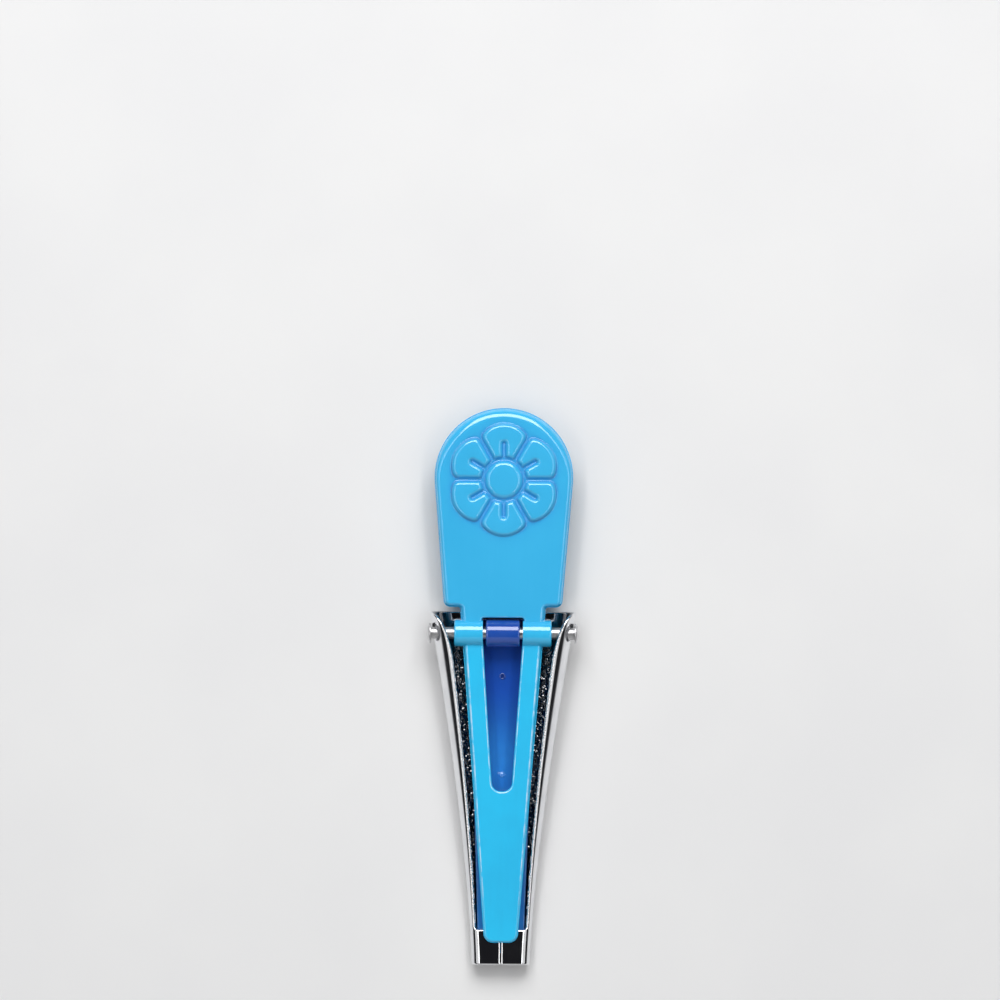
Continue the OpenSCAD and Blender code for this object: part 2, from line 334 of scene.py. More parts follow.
@dataclass(frozen=True)
class MouldedPlastic(Finish):
    """Glossy moulded plastic with drifting pigment, fine scuffs, a faint orange-peel skin, pale worn edges,
    a painted highlight line where the edge layer marks one, and painted shade in hollows.
    """

    colour: Colour
    deep_colour: Colour
    far_colour: Colour
    near_y: float
    far_y: float
    # Painted shade in hollows, mixed in by the noted layer.
    painted_shade_colour: Colour = (0.028, 0.21, 0.61, 1.0)
    painted_shade_share: float = 0.66
    # Pale edges: wear on the guide, and a painted highlight line along the arm's rails.
    wear_and_highlight_share: float = 0.10
    wear_and_highlight_tint: float = 0.58
    drift: Grain = Grain(7.0, 0.35, 0.75, 3.0)
    drift_share: float = 0.30
    flow: Grain = Grain(0.9, 0.45, 0.8, 3.0, 0.6, (1.0, 0.08, 1.0))
    flow_share: float = 0.14
    speck: Grain = Grain(0.16, 0.6, 0.85, 2.0, 0.7)
    speck_share: float = 0.10
    wear_and_highlight_mask: Grain = Grain(1.4, 0.35, 0.65, 3.0)
    rub: Grain = Grain(2.6, 0.48, 0.72, 4.0, 0.65)
    hairlines: tuple[Grain, Grain] = (
        Grain(0.10, 0.74, 0.79, 1.0, 0.5, (1.0, 0.03, 0.3), 24.0),
        Grain(0.08, 0.75, 0.80, 1.0, 0.5, (1.0, 0.05, 0.3), -37.0),
    )
    scuffed: Grain = Grain(4.0, 0.5, 0.65)
    scuff_depth: float = 0.0006
    peel: Grain = Grain(0.55)
    peel_depth: float = 0.0009
    gloss: float = 0.10
    rub_dull: float = 0.10
    scuff_dull: float = 0.14
    speck_dull: float = 0.03
    wear_and_highlight_dull: float = 0.04

    def paint(self, graph: Graph) -> None:
        """Draw the plastic's colour, roughness and normal.

        Args:
            graph: the material's nodes.
        """
        along = graph.span(graph.axis("Y"), self.far_y * MM, self.near_y * MM)
        tone = graph.mix(along, self.far_colour, self.colour)
        speck = graph.noise(self.speck)
        specks = graph.span(speck, self.speck.low, self.speck.high)
        tone = graph.mix(graph.mask(self.drift) * self.drift_share, tone, self.deep_colour)
        tone = graph.mix(graph.mask(self.flow) * self.flow_share, tone, self.deep_colour)
        tone = graph.mix(specks * self.speck_share, tone, self.deep_colour)
        # Pale edges: wear on the guide, and a painted highlight line along the arm's rails.
        wear_and_highlight_mask = graph.layer(WEAR_AND_HIGHLIGHT_LAYER) * graph.mask(self.wear_and_highlight_mask)
        pale = tuple(mix(part, 1.0, self.wear_and_highlight_tint) for part in self.colour)
        tone = graph.mix(wear_and_highlight_mask * self.wear_and_highlight_share, tone, pale)
        # Painted shade: darken the noted hollows and their surroundings.
        tone = graph.mix(graph.layer(PAINTED_SHADE_LAYER) * self.painted_shade_share, tone, self.painted_shade_colour)
        scuff = self._scuffs(graph)
        rough = self.gloss + self.rub_dull * graph.mask(self.rub) + self.scuff_dull * scuff
        rough = rough + self.speck_dull * speck + self.wear_and_highlight_dull * wear_and_highlight_mask
        skin = graph.bump(graph.noise(self.peel), self.peel_depth)
        normal = graph.bump(scuff, -self.scuff_depth, skin)
        sockets = {"Base Color": tone, "Roughness": rough, "Normal": normal, "IOR": 1.57}
        sockets |= {"Specular IOR Level": 0.3, "Coat Weight": 1.0, "Coat Roughness": 0.04, "Coat IOR": 1.59}
        graph.surface(sockets)

    def _scuffs(self, graph: Graph) -> Wire:
        """Give thin hairline marks in two directions: 1 on a mark and 0 between marks."""
        first, second = (graph.mask(grain) for grain in self.hairlines)
        return (first + second) * graph.mask(self.scuffed)


@dataclass(frozen=True)
class PlatedSteel(Finish):
    """Bright plated sheet with drawing lines along its length and slow ripples from the press, its inner
    face darkened as painted shade.
    """

    exit_y: float
    mouth_y: float
    bright: Colour = (0.80, 0.81, 0.83, 1.0)
    smoky: Colour = (0.62, 0.63, 0.66, 1.0)
    smoky_share: float = 0.5
    # Painted shade: the inner face is darkened so the trough reads dark.
    painted_shade_inside: Colour = (0.16, 0.16, 0.17, 1.0)
    painted_shade_inside_share: float = 0.85
    rim: Colour = (0.92, 0.92, 0.93, 1.0)
    rim_share: float = 0.7
    smoke: Grain = Grain(3.5, 0.4, 0.75, 4.0, 0.6)
    drawn: Grain = Grain(0.07, 0.62, 0.74, 2.0, 0.6, (1.0, 0.015, 1.0))
    drawn_depth: float = 0.0004
    fine: Grain = Grain(0.12)
    ripple: Grain = Grain(2.4, detail=1.0, stretch=(1.0, 0.45, 1.0))
    ripple_depth: float = 0.006
    dent: Grain = Grain(0.42, detail=1.0, rough=0.4)
    dent_depth: float = 0.26
    dent_margin: float = 3.0
    dent_fade: float = 4.0
    gloss: float = 0.05
    smoke_dull: float = 0.07
    drawn_dull: float = 0.10
    rim_dull: float = 0.05
    fine_dull: float = 0.02

    def paint(self, graph: Graph) -> None:
        """Draw the plating's colour, roughness and normal.

        Args:
            graph: the material's nodes.
        """
        smoke = graph.mask(self.smoke)
        drawn = graph.noise(self.drawn)
        scratch = graph.span(drawn, self.drawn.low, self.drawn.high)
        edge = graph.layer(WEAR_AND_HIGHLIGHT_LAYER)
        inner = graph.layer(INNER_LAYER)
        tone = graph.mix(smoke * self.smoky_share, self.bright, self.smoky)
        # Painted shade: darken the inner face so the trough reads dark.
        tone = graph.mix(inner * self.painted_shade_inside_share, tone, self.painted_shade_inside)
        tone = graph.mix(edge * self.rim_share, tone, self.rim)
        rough = self.gloss + self.smoke_dull * smoke + self.drawn_dull * scratch
        rough = rough + self.rim_dull * edge + self.fine_dull * graph.noise(self.fine)
        dents = graph.noise(self.dent) * inner * self._trough(graph)
        rippled = graph.bump(graph.noise(self.ripple), self.ripple_depth)
        dented = graph.bump(dents, self.dent_depth, rippled)
        normal = graph.bump(drawn, self.drawn_depth, dented)
        graph.surface({"Base Color": tone, "Metallic": 1.0, "Roughness": rough, "Normal": normal})

    def _trough(self, graph: Graph) -> Wire:
        """Give where the press left its dents.

        Args:
            graph: the material's nodes.

        Returns:
            1 along the trough, falling to 0 near the exit and the mouth.
        """
        along = graph.axis("Y")
        low, high = self.exit_y + self.dent_margin, self.mouth_y - self.dent_margin
        start = graph.span(along, low * MM, (low + self.dent_fade) * MM)
        return start * (1 - graph.span(along, (high - self.dent_fade) * MM, high * MM))


@dataclass(frozen=True)
class TurnedSteel(Finish):
    """Turned steel with fine rings about the pin's axis."""

    axis_y: float
    axis_z: float
    bright: Colour = (0.66, 0.66, 0.67, 1.0)
    dull: Colour = (0.42, 0.42, 0.43, 1.0)
    dull_share: float = 0.6
    stain: Grain = Grain(0.8, 0.42, 0.7, 4.0, 0.6)
    ring_pitch: float = 0.09
    ring_depth: float = 0.0016
    gloss: float = 0.22
    ring_dull: float = 0.10
    stain_dull: float = 0.12

    def paint(self, graph: Graph) -> None:
        """Draw the steel's colour, roughness and normal.

        Args:
            graph: the material's nodes.
        """
        across = graph.axis("Y") - self.axis_y * MM
        above = graph.axis("Z") - self.axis_z * MM
        turns = (across * across + above * above) ** 0.5 * (math.tau / (self.ring_pitch * MM))
        rings = graph.node("ShaderNodeMath", {"operation": "SINE"}, {0: turns}) * 0.5 + 0.5
        stain = graph.mask(self.stain)
        tone = graph.mix(stain * self.dull_share, self.bright, self.dull)
        rough = self.gloss + self.ring_dull * rings + self.stain_dull * stain
        normal = graph.bump(rings, self.ring_depth)
        graph.surface({"Base Color": tone, "Metallic": 1.0, "Roughness": rough, "Normal": normal})


@dataclass(frozen=True)
class StudioPaper(Finish):
    """Matt pale paper of the floor."""

    colour: Colour = (0.78, 0.78, 0.78, 1.0)
    shade: Colour = (0.755, 0.755, 0.76, 1.0)
    mottle: Grain = Grain(30.0, 0.3, 0.7, 3.0)

    def paint(self, graph: Graph) -> None:
        """Draw the paper's faint mottle.

        Args:
            graph: the material's nodes.
        """
        tone = graph.mix(graph.mask(self.mottle), self.colour, self.shade)
        graph.surface({"Base Color": tone, "Roughness": 0.9, "Specular IOR Level": 0.1})


# Mesh helpers


def mix(first: Any, second: Any, share: Any) -> Any:
    """Go from first at share 0 to second at share 1."""
    return first + (second - first) * share


def unit(rows: np.ndarray) -> np.ndarray:
    """Scale vectors to length 1."""
    return rows / np.linalg.norm(rows, axis=-1, keepdims=True)


def rounded_loop(
    corners: Sequence[Pair], radii: Sequence[float], spacing: float, fineness: int
) -> np.ndarray:
    """Round the corners of a closed outline and space points along it.

    Args:
        corners: the sharp corners in turn, anticlockwise.
        radii: the radius at each corner.
        spacing: longest step along a straight side.
        fineness: arc points to a quarter turn.

    Returns:
        The points of the closed outline.
    """
    sharp = np.array(corners, float)
    count = len(sharp)
    points: list[np.ndarray] = []
    for i, radius in enumerate(radii):
        here = sharp[i]
        back = unit(sharp[i - 1] - here)
        ahead = unit(sharp[(i + 1) % count] - here)
        half = 0.5 * math.acos(float(np.clip(back @ ahead, -1.0, 1.0)))
        centre = here + unit(back + ahead) * radius / math.sin(half)
        start = here + back * radius / math.tan(half) - centre
        end = here + ahead * radius / math.tan(half) - centre
        sweep = math.atan2(start[0] * end[1] - start[1] * end[0], start @ end)
        steps = max(FEWEST_STEPS, round(abs(sweep) / (math.pi / 2) * fineness))
        first = math.atan2(start[1], start[0])
        for k in range(steps + 1):
            angle = first + sweep * k / steps
            points.append(centre + radius * np.array([math.cos(angle), math.sin(angle)]))
    spaced: list[np.ndarray] = []
    for i, point in enumerate(points):
        after = points[(i + 1) % len(points)]
        length = float(np.linalg.norm(after - point))
        if length < SHORT_STEP:
            continue
        steps = max(1, math.ceil(length / spacing))
        spaced.extend(mix(point, after, k / steps) for k in range(steps))
    return np.array(spaced)


def inset_loop(loop: np.ndarray, distance: float | np.ndarray) -> np.ndarray:
    """Move an anticlockwise outline inwards, or outwards for a negative distance.

    Args:
        loop: the outline's points.
        distance: how far each side moves, or a column with one value for each point.

    Returns:
        The moved points, one for each point given.
    """
    ahead = unit(np.roll(loop, -1, axis=0) - loop)
    normals = np.stack([-ahead[:, 1], ahead[:, 0]], axis=1)
    both = normals + np.roll(normals, 1, axis=0)
    return loop + distance * both * 2.0 / np.sum(both * both, axis=1, keepdims=True)


def round_edge(width: float, drop: float, steps: int = 6) -> list[Pair]:
    """Give the section of a rounded edge, from the side wall up to the flat face.

    Args:
        width: how far the round reaches in from the wall.
        drop: how far the round reaches down from the face.
        steps: parts of the round.

    Returns:
        Pairs of inset and drop.
    """
    turns = [math.pi / 2 * k / steps for k in range(steps + 1)]
    return [(width * (1 - math.cos(a)), drop * (1 - math.sin(a))) for a in turns]


def edge_insets(radius: float, steps: int) -> list[float]:
    """Give distances from a rounded edge, close together where it turns."""
    return [inset for inset, _ in round_edge(radius, radius, steps)]


def inside(loop: np.ndarray, spots: np.ndarray) -> np.ndarray:
    """Tell which spots lie inside a closed outline.

    Args:
        loop: the outline's points.
        spots: the points that are asked about.

    Returns:
        True for each spot inside.
    """
    x, y = spots[:, 0:1], spots[:, 1:2]
    after = np.roll(loop, -1, axis=0)
    above = (loop[:, 1] > y) != (after[:, 1] > y)
    rise = np.where(after[:, 1] == loop[:, 1], TINY, after[:, 1] - loop[:, 1])
    cross = loop[:, 0] + (y - loop[:, 1]) * (after[:, 0] - loop[:, 0]) / rise
    return np.sum(above & (x < cross), axis=1) % 2 == 1


def edge_distance(loop: np.ndarray, spots: np.ndarray) -> np.ndarray:
    """Give how far each spot lies from a closed outline.

    Args:
        loop: the outline's points.
        spots: the points that are asked about.

    Returns:
        The distances.
    """
    sides = np.roll(loop, -1, axis=0) - loop
    ways = spots[:, None] - loop[None]
    shares = np.clip(np.sum(ways * sides, axis=2) / np.sum(sides * sides, axis=1), 0.0, 1.0)
    return np.min(np.linalg.norm(ways - shares[..., None] * sides, axis=2), axis=1)


class MeshSketch:
    """Points and faces of one closed mesh, in millimetres."""

    def __init__(self) -> None:
        """Start with nothing drawn."""
        self.points: list[Triple] = []
        self.faces: list[tuple[int, ...]] = []

    def add(self, spots: Any) -> list[int]:
        """Add points.

        Args:
            spots: rows of x, y and z.

        Returns:
            The points' numbers.
        """
        start = len(self.points)
        self.points.extend(tuple(float(part) for part in spot) for spot in spots)
        return list(range(start, len(self.points)))

    def ring(self, loop: np.ndarray, height: Any) -> list[int]:
        """Add an outline at one height, or at one for each point, and give the points' numbers."""
        levels = np.broadcast_to(height, len(loop))
        return self.add(np.column_stack([loop, levels]))

    def stack(self, rings: Sequence[Sequence[int]]) -> None:
        """Join closed rings of equal length in turn with four-sided faces.

        Args:
            rings: the rings' points.
        """
        for first, second in zip(rings, rings[1:]):
            for i, point in enumerate(first):
                j = (i + 1) % len(first)
                self.faces.append((point, first[j], second[j], second[i]))

    def wall(
        self, outline: np.ndarray, radius: float, under: Height, top: Height, side: int = 1
    ) -> list[list[int]]:
        """Draw the wall between two faces, with a rounded edge at each.

        Args:
            outline: the wall in plan, anticlockwise.
            radius: the edges' radius.
            under: gives the level of the lower face from x and y.
            top: gives the level of the upper face from x and y.
            side: 1 where the solid lies inside the outline, -1 where it lies outside.

        Returns:
            The rings from the lower face to the upper one.
        """
        edge = round_edge(radius, radius)
        rings = []
        for inset, rise in reversed(edge):
            loop = inset_loop(outline, side * inset)
            rings.append(self.ring(loop, under(loop[:, 0], loop[:, 1]) + rise))
        for inset, drop in edge:
            loop = inset_loop(outline, side * inset)
            rings.append(self.ring(loop, top(loop[:, 0], loop[:, 1]) - drop))
        self.stack(rings)
        return rings

    def fill(
        self, outline: Sequence[int], holes: Sequence[Sequence[int]], spacing: float, height: Height
    ) -> None:
        """Fill the flat or gently sloping face between rings.

        Args:
            outline: the outer ring.
            holes: the rings that stay open.
            spacing: distance between the points added inside.
            height: gives the level of an added point from its x and y.
        """
        rings = [list(outline), *[list(hole) for hole in holes]]
        loops = [np.array([self.points[i][:2] for i in ring]) for ring in rings]
        low, high = loops[0].min(axis=0), loops[0].max(axis=0)
        axes = [np.arange(a + spacing / 2, b, spacing) for a, b in zip(low, high)]
        extra = np.stack(np.meshgrid(*axes), axis=-1).reshape(-1, 2)
        keep = self._between(loops, extra)
        border = np.concatenate(loops)
        nearest = np.min(np.linalg.norm(extra[:, None] - border[None], axis=2), axis=1)
        extra = extra[keep & (nearest > BORDER_ROOM * spacing)]
        added = self.add(np.column_stack([extra, height(extra[:, 0], extra[:, 1])]))
        numbers = [i for ring in rings for i in ring] + added
        edges: list[tuple[int, int]] = []
        start = 0
        for ring in rings:
            edges.extend((start + i, start + (i + 1) % len(ring)) for i in range(len(ring)))
            start += len(ring)
        flat = [Vector(self.points[i][:2]) for i in numbers]
        spots, _, faces, origins, _, _ = delaunay_2d_cdt(flat, edges, [], 0, CLOSE)
        corners = np.array([[tuple(spots[i]) for i in face] for face in faces])
        sides = corners[:, 1:] - corners[:, :1]
        areas = np.abs(sides[:, 0, 0] * sides[:, 1, 1] - sides[:, 0, 1] * sides[:, 1, 0]) / 2
        longest = np.max(np.sum((corners - np.roll(corners, 1, axis=1)) ** 2, axis=2), axis=1)
        kept = self._between(loops, corners.mean(axis=1)) & (areas > SLIVER * longest)
        for face in np.flatnonzero(kept):
            self.faces.append(tuple(numbers[origins[i][0]] for i in faces[face]))

    @staticmethod
    def _between(loops: Sequence[np.ndarray], spots: np.ndarray) -> np.ndarray:
        """Tell which spots lie inside the first outline and outside the others.

        Args:
            loops: the outlines.
            spots: the points that are asked about.

        Returns:
            True for each such spot.
        """
        kept = inside(loops[0], spots)
        for hole in loops[1:]:
            kept &= ~inside(hole, spots)
        return kept

    def piece(self, name: str) -> bpy.types.Object:
        """Make an object with all its faces turned outwards.

        Args:
            name: the object's name.

        Returns:
            The object, in metres, linked to the scene.
        """
        mesh = bpy.data.meshes.new(name)
        mesh.from_pydata([tuple(part * MM for part in point) for point in self.points], [], self.faces)
        draft = bmesh.new()
        draft.from_mesh(mesh)
        bmesh.ops.remove_doubles(draft, verts=draft.verts, dist=WELD)
        bmesh.ops.recalc_face_normals(draft, faces=draft.faces)
        if draft.calc_volume(signed=True) < 0:
            bmesh.ops.reverse_faces(draft, faces=draft.faces)
        draft.to_mesh(mesh)
        draft.free()
        made = bpy.data.objects.new(name, mesh)
        bpy.context.scene.collection.objects.link(made)
        return made


def turned(
    name: str, section: Sequence[Pair], centre: Pair, axis: Axis = Axis.ACROSS, sides: int = 72
) -> bpy.types.Object:
    """Turn a section about an axis.

    Args:
        name: the object's name.
        section: closed section as pairs of place along the axis and radius; a radius of 0 lies on it.
        centre: where the axis lies, in the two directions beside it.
        axis: the axis's direction.
        sides: sides of the turned form.

    Returns:
        The turned object.
    """
    sketch = MeshSketch()
    angles = np.arange(sides) * math.tau / sides
    rings = []
    for place, radius in section:
        first = centre[0] + radius * np.cos(angles)
        second = centre[1] + radius * np.sin(angles)
        spots = np.column_stack([np.full(sides, place), first, second])
        rings.append(sketch.add(spots[:, list(axis.value)]))
    sketch.stack([*rings, rings[0]] if section[0][1] > SLIVER else rings)
    return sketch.piece(name)


def combine(piece: bpy.types.Object, tool: bpy.types.Object, cut: Cut) -> None:
    """Join a solid to a piece, or cut it away, and delete the tool.

    Args:
        piece: the solid that is kept.
        tool: the solid that is joined or cut away.
        cut: which of the two.
    """
    change = piece.modifiers.new("cut", "BOOLEAN")
    change.object = tool
    change.operation = cut.value
    change.solver = "EXACT"
    graph = bpy.context.evaluated_depsgraph_get()
    mesh = bpy.data.meshes.new_from_object(piece.evaluated_get(graph))
    old, spare = piece.data, tool.data
    piece.modifiers.clear()
    piece.data = mesh
    mesh.name = piece.name
    bpy.data.objects.remove(tool)
    bpy.data.meshes.remove(old)
    bpy.data.meshes.remove(spare)


def bore(piece: bpy.types.Object, half: float, radius: float, centre: Pair) -> None:
    """Bore a round hole across a piece.

    Args:
        piece: the solid that is bored.
        half: how far the solid reaches on each side of the middle.
        radius: the hole's radius.
        centre: the hole's y and z.
    """
    reach = half + ROD_OVERRUN
    section = [(-reach, 0.0), (-reach, radius), (reach, radius), (reach, 0.0)]
    combine(piece, turned("rod", section, centre), Cut.REMOVE)


def smooth(piece: bpy.types.Object, sharp: float) -> None:
    """Shade a piece smooth, with edges sharper than an angle in degrees left crisp."""
    piece.data.shade_smooth()
    piece.data.set_sharp_from_angle(angle=math.radians(sharp))


def places(piece: bpy.types.Object) -> np.ndarray:
    """Give where a piece's points lie, in millimetres."""
    return np.array([point.co for point in piece.data.vertices]) / MM


def note(piece: bpy.types.Object, layer: str, values: Any) -> None:
    """Note a value on each of a piece's points, for its finish to read."""
    made = piece.data.attributes.new(layer, "FLOAT", "POINT")
    made.data.foreach_set("value", np.asarray(values, np.float32))


def mark_edges(piece: bpy.types.Object) -> None:
    """Note how strongly the surface bulges at each point, for wear along the edges.

    Args:
        piece: the finished mesh, which gets a value from 0 to 1 on its points.
    """
    draft = bmesh.new()
    draft.from_mesh(piece.data)
    bulge = np.zeros(len(draft.verts))
    hollow = np.zeros(len(draft.verts), bool)
    for edge in draft.edges:
        if len(edge.link_faces) != 2:
            continue
        turn = edge.calc_face_angle_signed(0.0)
        if turn < -HOLLOW_TURN:
            hollow[[vert.index for vert in edge.verts]] = True
        first, second = (face.calc_center_median() for face in edge.link_faces)
        curve = max(0.0, turn) / max((first - second).length / MM, FACE_REACH)
        for vert in edge.verts:
            bulge[vert.index] = max(bulge[vert.index], curve)
    draft.free()
    note(piece, WEAR_AND_HIGHLIGHT_LAYER, np.where(hollow, 0.0, np.clip(bulge / WORN_CURVE, 0.0, 1.0)))


def dress(piece: bpy.types.Object, finish: Finish, body: Body, node: str) -> None:
    """Give a piece its finish and its place in the frame.

    Args:
        piece: the finished mesh.
        finish: the finish that makes its material.
        body: the body that it rides on.
        node: the solid that it stands for.
    """
    piece.data.materials.clear()
    piece.data.materials.append(finish.material())
    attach(piece, body.value)
    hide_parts(node)
    log.info("%s: %d faces on %s", piece.name, len(piece.data.polygons), body.value)


# Places that the pieces share


@dataclass(frozen=True)
class Layout:
    """Stations along the tool, read from the frame, in millimetres."""

    exit_y: float
    mouth_y: float
    tongue_tip_y: float
    handle_end_y: float
    handle_radius: float
    pin_y: float
    pin_z: float
    pin_reach: float
    guide_tip_y: float
    guide_rear_y: float

    @classmethod
    def from_frame(cls) -> "Layout":
        """Read the stations from the solids' boxes and the joint.

        Returns:
            The stations.
        """
        shell_low, shell_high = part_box("folding_shell")
        arm_low, arm_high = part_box("guide_arm")
        guide_low, guide_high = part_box("inner_guide")
        _, pin_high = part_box("hinge_pin")
        hinge = frame["joints"][0]["pos_m"]
        return cls(
            exit_y=shell_low.y / MM,
            mouth_y=shell_high.y / MM,
            tongue_tip_y=arm_low.y / MM,
            handle_end_y=arm_high.y / MM,
            handle_radius=arm_high.x / MM,
            pin_y=hinge[1] / MM,
            pin_z=hinge[2] / MM,
            pin_reach=pin_high.x / MM,
            guide_tip_y=guide_low.y / MM,
            guide_rear_y=guide_high.y / MM,
        )

    @property
    def pin_axis(self) -> Pair:
        """Give the y and z of the pin's axis."""
        return self.pin_y, self.pin_z


# Pieces


@dataclass
class FoldingShell:
    """The plated sheet: a trough that narrows to a flat tip whose two flaps nearly meet."""

    layout: Layout
    mouth_width: float = 18.0
    exit_width: float = 7.15
    tip_height: float = 2.4
    sheet: float = 0.5
    mouth_bend: float = 3.05
    flap_turn: float = 147.0
    trough_turn: float = 163.0
    mouth_turn: float = 132.0
    mouth_opening: float = 6.0
    mouth_corner: float = 1.6
    flap_corner: float = 0.5
    flap_length: float = 4.3
    seam_gap: float = 0.16
    seam_edge: float = 0.30
    seam_dip: float = 0.06
    flare: float = 1.43
    edge_radius: float = 0.2
    floor_steps: int = 8
    wall_steps: int = 34
    flap_steps: int = 12
    edge_steps: int = 5
    flap_rows: int = 14
    corner_rows: int = 10
    trough_rows: int = 92
    mouth_rows: int = 18
    crisp: float = 60.0

    @property
    def flap_y(self) -> float:
        """Give where the flaps end."""
        return self.layout.exit_y + self.flap_length

    def half_width(self, y: float) -> float:
        """Give half the shell's width."""
        share = (y - self.layout.exit_y) / (self.layout.mouth_y - self.layout.exit_y)
        return mix(self.exit_width, self.mouth_width, max(0.0, share) ** self.flare) / 2

    def trough_share(self, y: float) -> float:
        """Give 0 at the flaps and 1 at the mouth."""
        return max(0.0, (y - self.flap_y) / (self.layout.mouth_y - self.flap_y))

    def bend(self, y: float) -> float:
        """Give the outer radius of the side fold."""
        return mix(self.tip_height / 2, self.mouth_bend, self.trough_share(y))

    @staticmethod
    def _rounding(radius: float, distance: float) -> float:
        """Give how far a rounded edge falls away at a distance from its end."""
        short = max(0.0, radius - distance)
        return radius - math.sqrt(max(0.0, radius**2 - short**2))

    def wall_turn(self, y: float) -> float:
        """Give how far the wall turns over the trough.

        Args:
            y: the station.

        Returns:
            The angle in radians, less at the mouth's round corner and more at the flap's.
        """
        loss = self._rounding(self.mouth_corner, self.layout.mouth_y - y)
        gain = self._rounding(self.flap_corner, max(0.0, y - self.flap_y))
        opening = max(0.0, (y - self.layout.mouth_y) / self.mouth_opening + 1.0) ** 2
        plain = mix(self.flap_turn, self.trough_turn, self.trough_share(y))
        plain = mix(plain, self.mouth_turn, opening)
        return math.radians(plain) + (gain - loss) / self.bend(y)

    def _stations(self) -> list[float]:
        """Give the rows along the shell, close together where an edge turns.

        Returns:
            Stations from the exit to the mouth.
        """
        edge = edge_insets(self.edge_radius, self.edge_steps)
        flap, last = self.flap_y, self.layout.mouth_y - self.mouth_corner
        rows = [self.layout.exit_y + e for e in edge]
        rows += list(np.linspace(rows[-1], flap - self.edge_radius, self.flap_rows)[1:])
        rows += [flap - e for e in reversed(edge[:-1])]
        rows += [flap + e for e in edge_insets(self.flap_corner, self.corner_rows)[1:]]
        rows += list(np.linspace(rows[-1], last, self.trough_rows)[1:])
        turns = [math.pi / 2 * k / self.mouth_rows for k in range(1, self.mouth_rows + 1)]
        return rows + [last + self.mouth_corner * math.sin(turn) for turn in turns]

    def _reach(self, y: float, folded: bool) -> list[float]:
        """Give how far along the section each column lies, from the start of the fold.

        Args:
            y: the station.
            folded: whether the flaps are there.

        Returns:
            Lengths along the middle of the sheet.
        """
        middle = self.bend(y) - self.sheet / 2
        edge = edge_insets(self.edge_radius, self.edge_steps)
        wall = middle * self.wall_turn(y)
        reach = list(np.linspace(0.0, wall - self.edge_radius, self.wall_steps)[1:])
        reach += [wall - e for e in reversed(edge[:-1])]
        if folded:
            end = middle * math.pi + self.half_width(y) - self.bend(y) - self.seam_gap / 2
            reach += list(np.linspace(wall, end - self.seam_edge, self.flap_steps)[1:])
            reach += [end - e * self.seam_edge / self.edge_radius for e in reversed(edge[:-1])]
        return reach

    def _dip(self, distance: float) -> float:
        """Give how far a face dips at this distance from the sheet's edge."""
        return self._rounding(self.edge_radius, distance)

    def _row(self, y: float) -> tuple[list[Pair], list[Pair]]:
        """Give one half of the section at a station.

        Args:
            y: the station.

        Returns:
            The outer and the inner points as pairs of x and z, from the middle out.
        """
        folded = y <= self.flap_y + CLOSE
        half, bend = self.half_width(y), self.bend(y)
        middle = bend - self.sheet / 2
        wall = middle * self.wall_turn(y)
        reach = self._reach(y, folded)
        end_gap = min(y - self.layout.exit_y, self.layout.mouth_y - y)
        dip = self._dip(end_gap)
        floor = [(half - bend) * k / (self.floor_steps - 1) for k in range(self.floor_steps)]
        outer, inner = [(x, dip) for x in floor], [(x, self.sheet - dip) for x in floor]
        for length in reach:
            gap = reach[-1] - length
            if folded:
                roll = self._dip(gap * self.edge_radius / self.seam_edge)
                gap = math.hypot(self.flap_y - y, max(0.0, wall - length))
                dip = max(self._dip(min(gap, end_gap)), roll * self.seam_dip / self.edge_radius)
            else:
                dip = self._dip(min(gap, end_gap))
            angle = min(length / middle, math.pi)
            flat = max(0.0, length - middle * math.pi)
            for points, depth in ((outer, dip), (inner, self.sheet - dip)):
                x = half - bend + (bend - depth) * math.sin(angle) - flat
                points.append((x, bend - (bend - depth) * math.cos(angle)))
        return outer, inner

    def build(self) -> bpy.types.Object:
        """Make the sheet with rounded edges.

        Returns:
            The shell's object.
        """
        sketch = MeshSketch()
        numbers: list[dict[int, int]] = []
        skins: list[list[Triple]] = [[], []]
        for y in self._stations():
            row: dict[int, int] = {}
            for side in (-1, 1):
                for column, spots in enumerate(zip(*self._row(y))):
                    if side * column in row:
                        continue
                    row[side * column] = len(skins[0])
                    for skin, (x, z) in zip(skins, spots):
                        skin.append((side * x, y, z))
            numbers.append(row)
        patches: list[tuple[int, int, int, int]] = []
        for row, after in zip(numbers, numbers[1:]):
            shared = sorted(set(row) & set(after))
            for a, b in zip(shared, shared[1:]):
                patches.append((row[a], row[b], after[b], after[a]))
        count = len(skins[0])
        sketch.add(skins[0] + skins[1])
        uses: dict[frozenset[int], list[tuple[int, int]]] = {}
        for patch in patches:
            sketch.faces.append(patch[::-1])
            sketch.faces.append(tuple(i + count for i in patch))
            for a, b in zip(patch, patch[1:] + patch[:1]):
                uses.setdefault(frozenset((a, b)), []).append((a, b))
        for sides in uses.values():
            if len(sides) == 1:
                a, b = sides[0]
                sketch.faces.append((a, b, b + count, a + count))
        shell = sketch.piece("folding_shell_sheet")
        note(shell, INNER_LAYER, [0.0] * count + [1.0] * count)
        smooth(shell, self.crisp)
        return shell

    def dress(self, shell: bpy.types.Object) -> None:
        """Plate the sheet.

        Args:
            shell: the shell's object.
        """
        mark_edges(shell)
        finish = PlatedSteel("plated_steel", self.layout.exit_y, self.layout.mouth_y)
        dress(shell, finish, Body.FOLDER, "folding_shell")


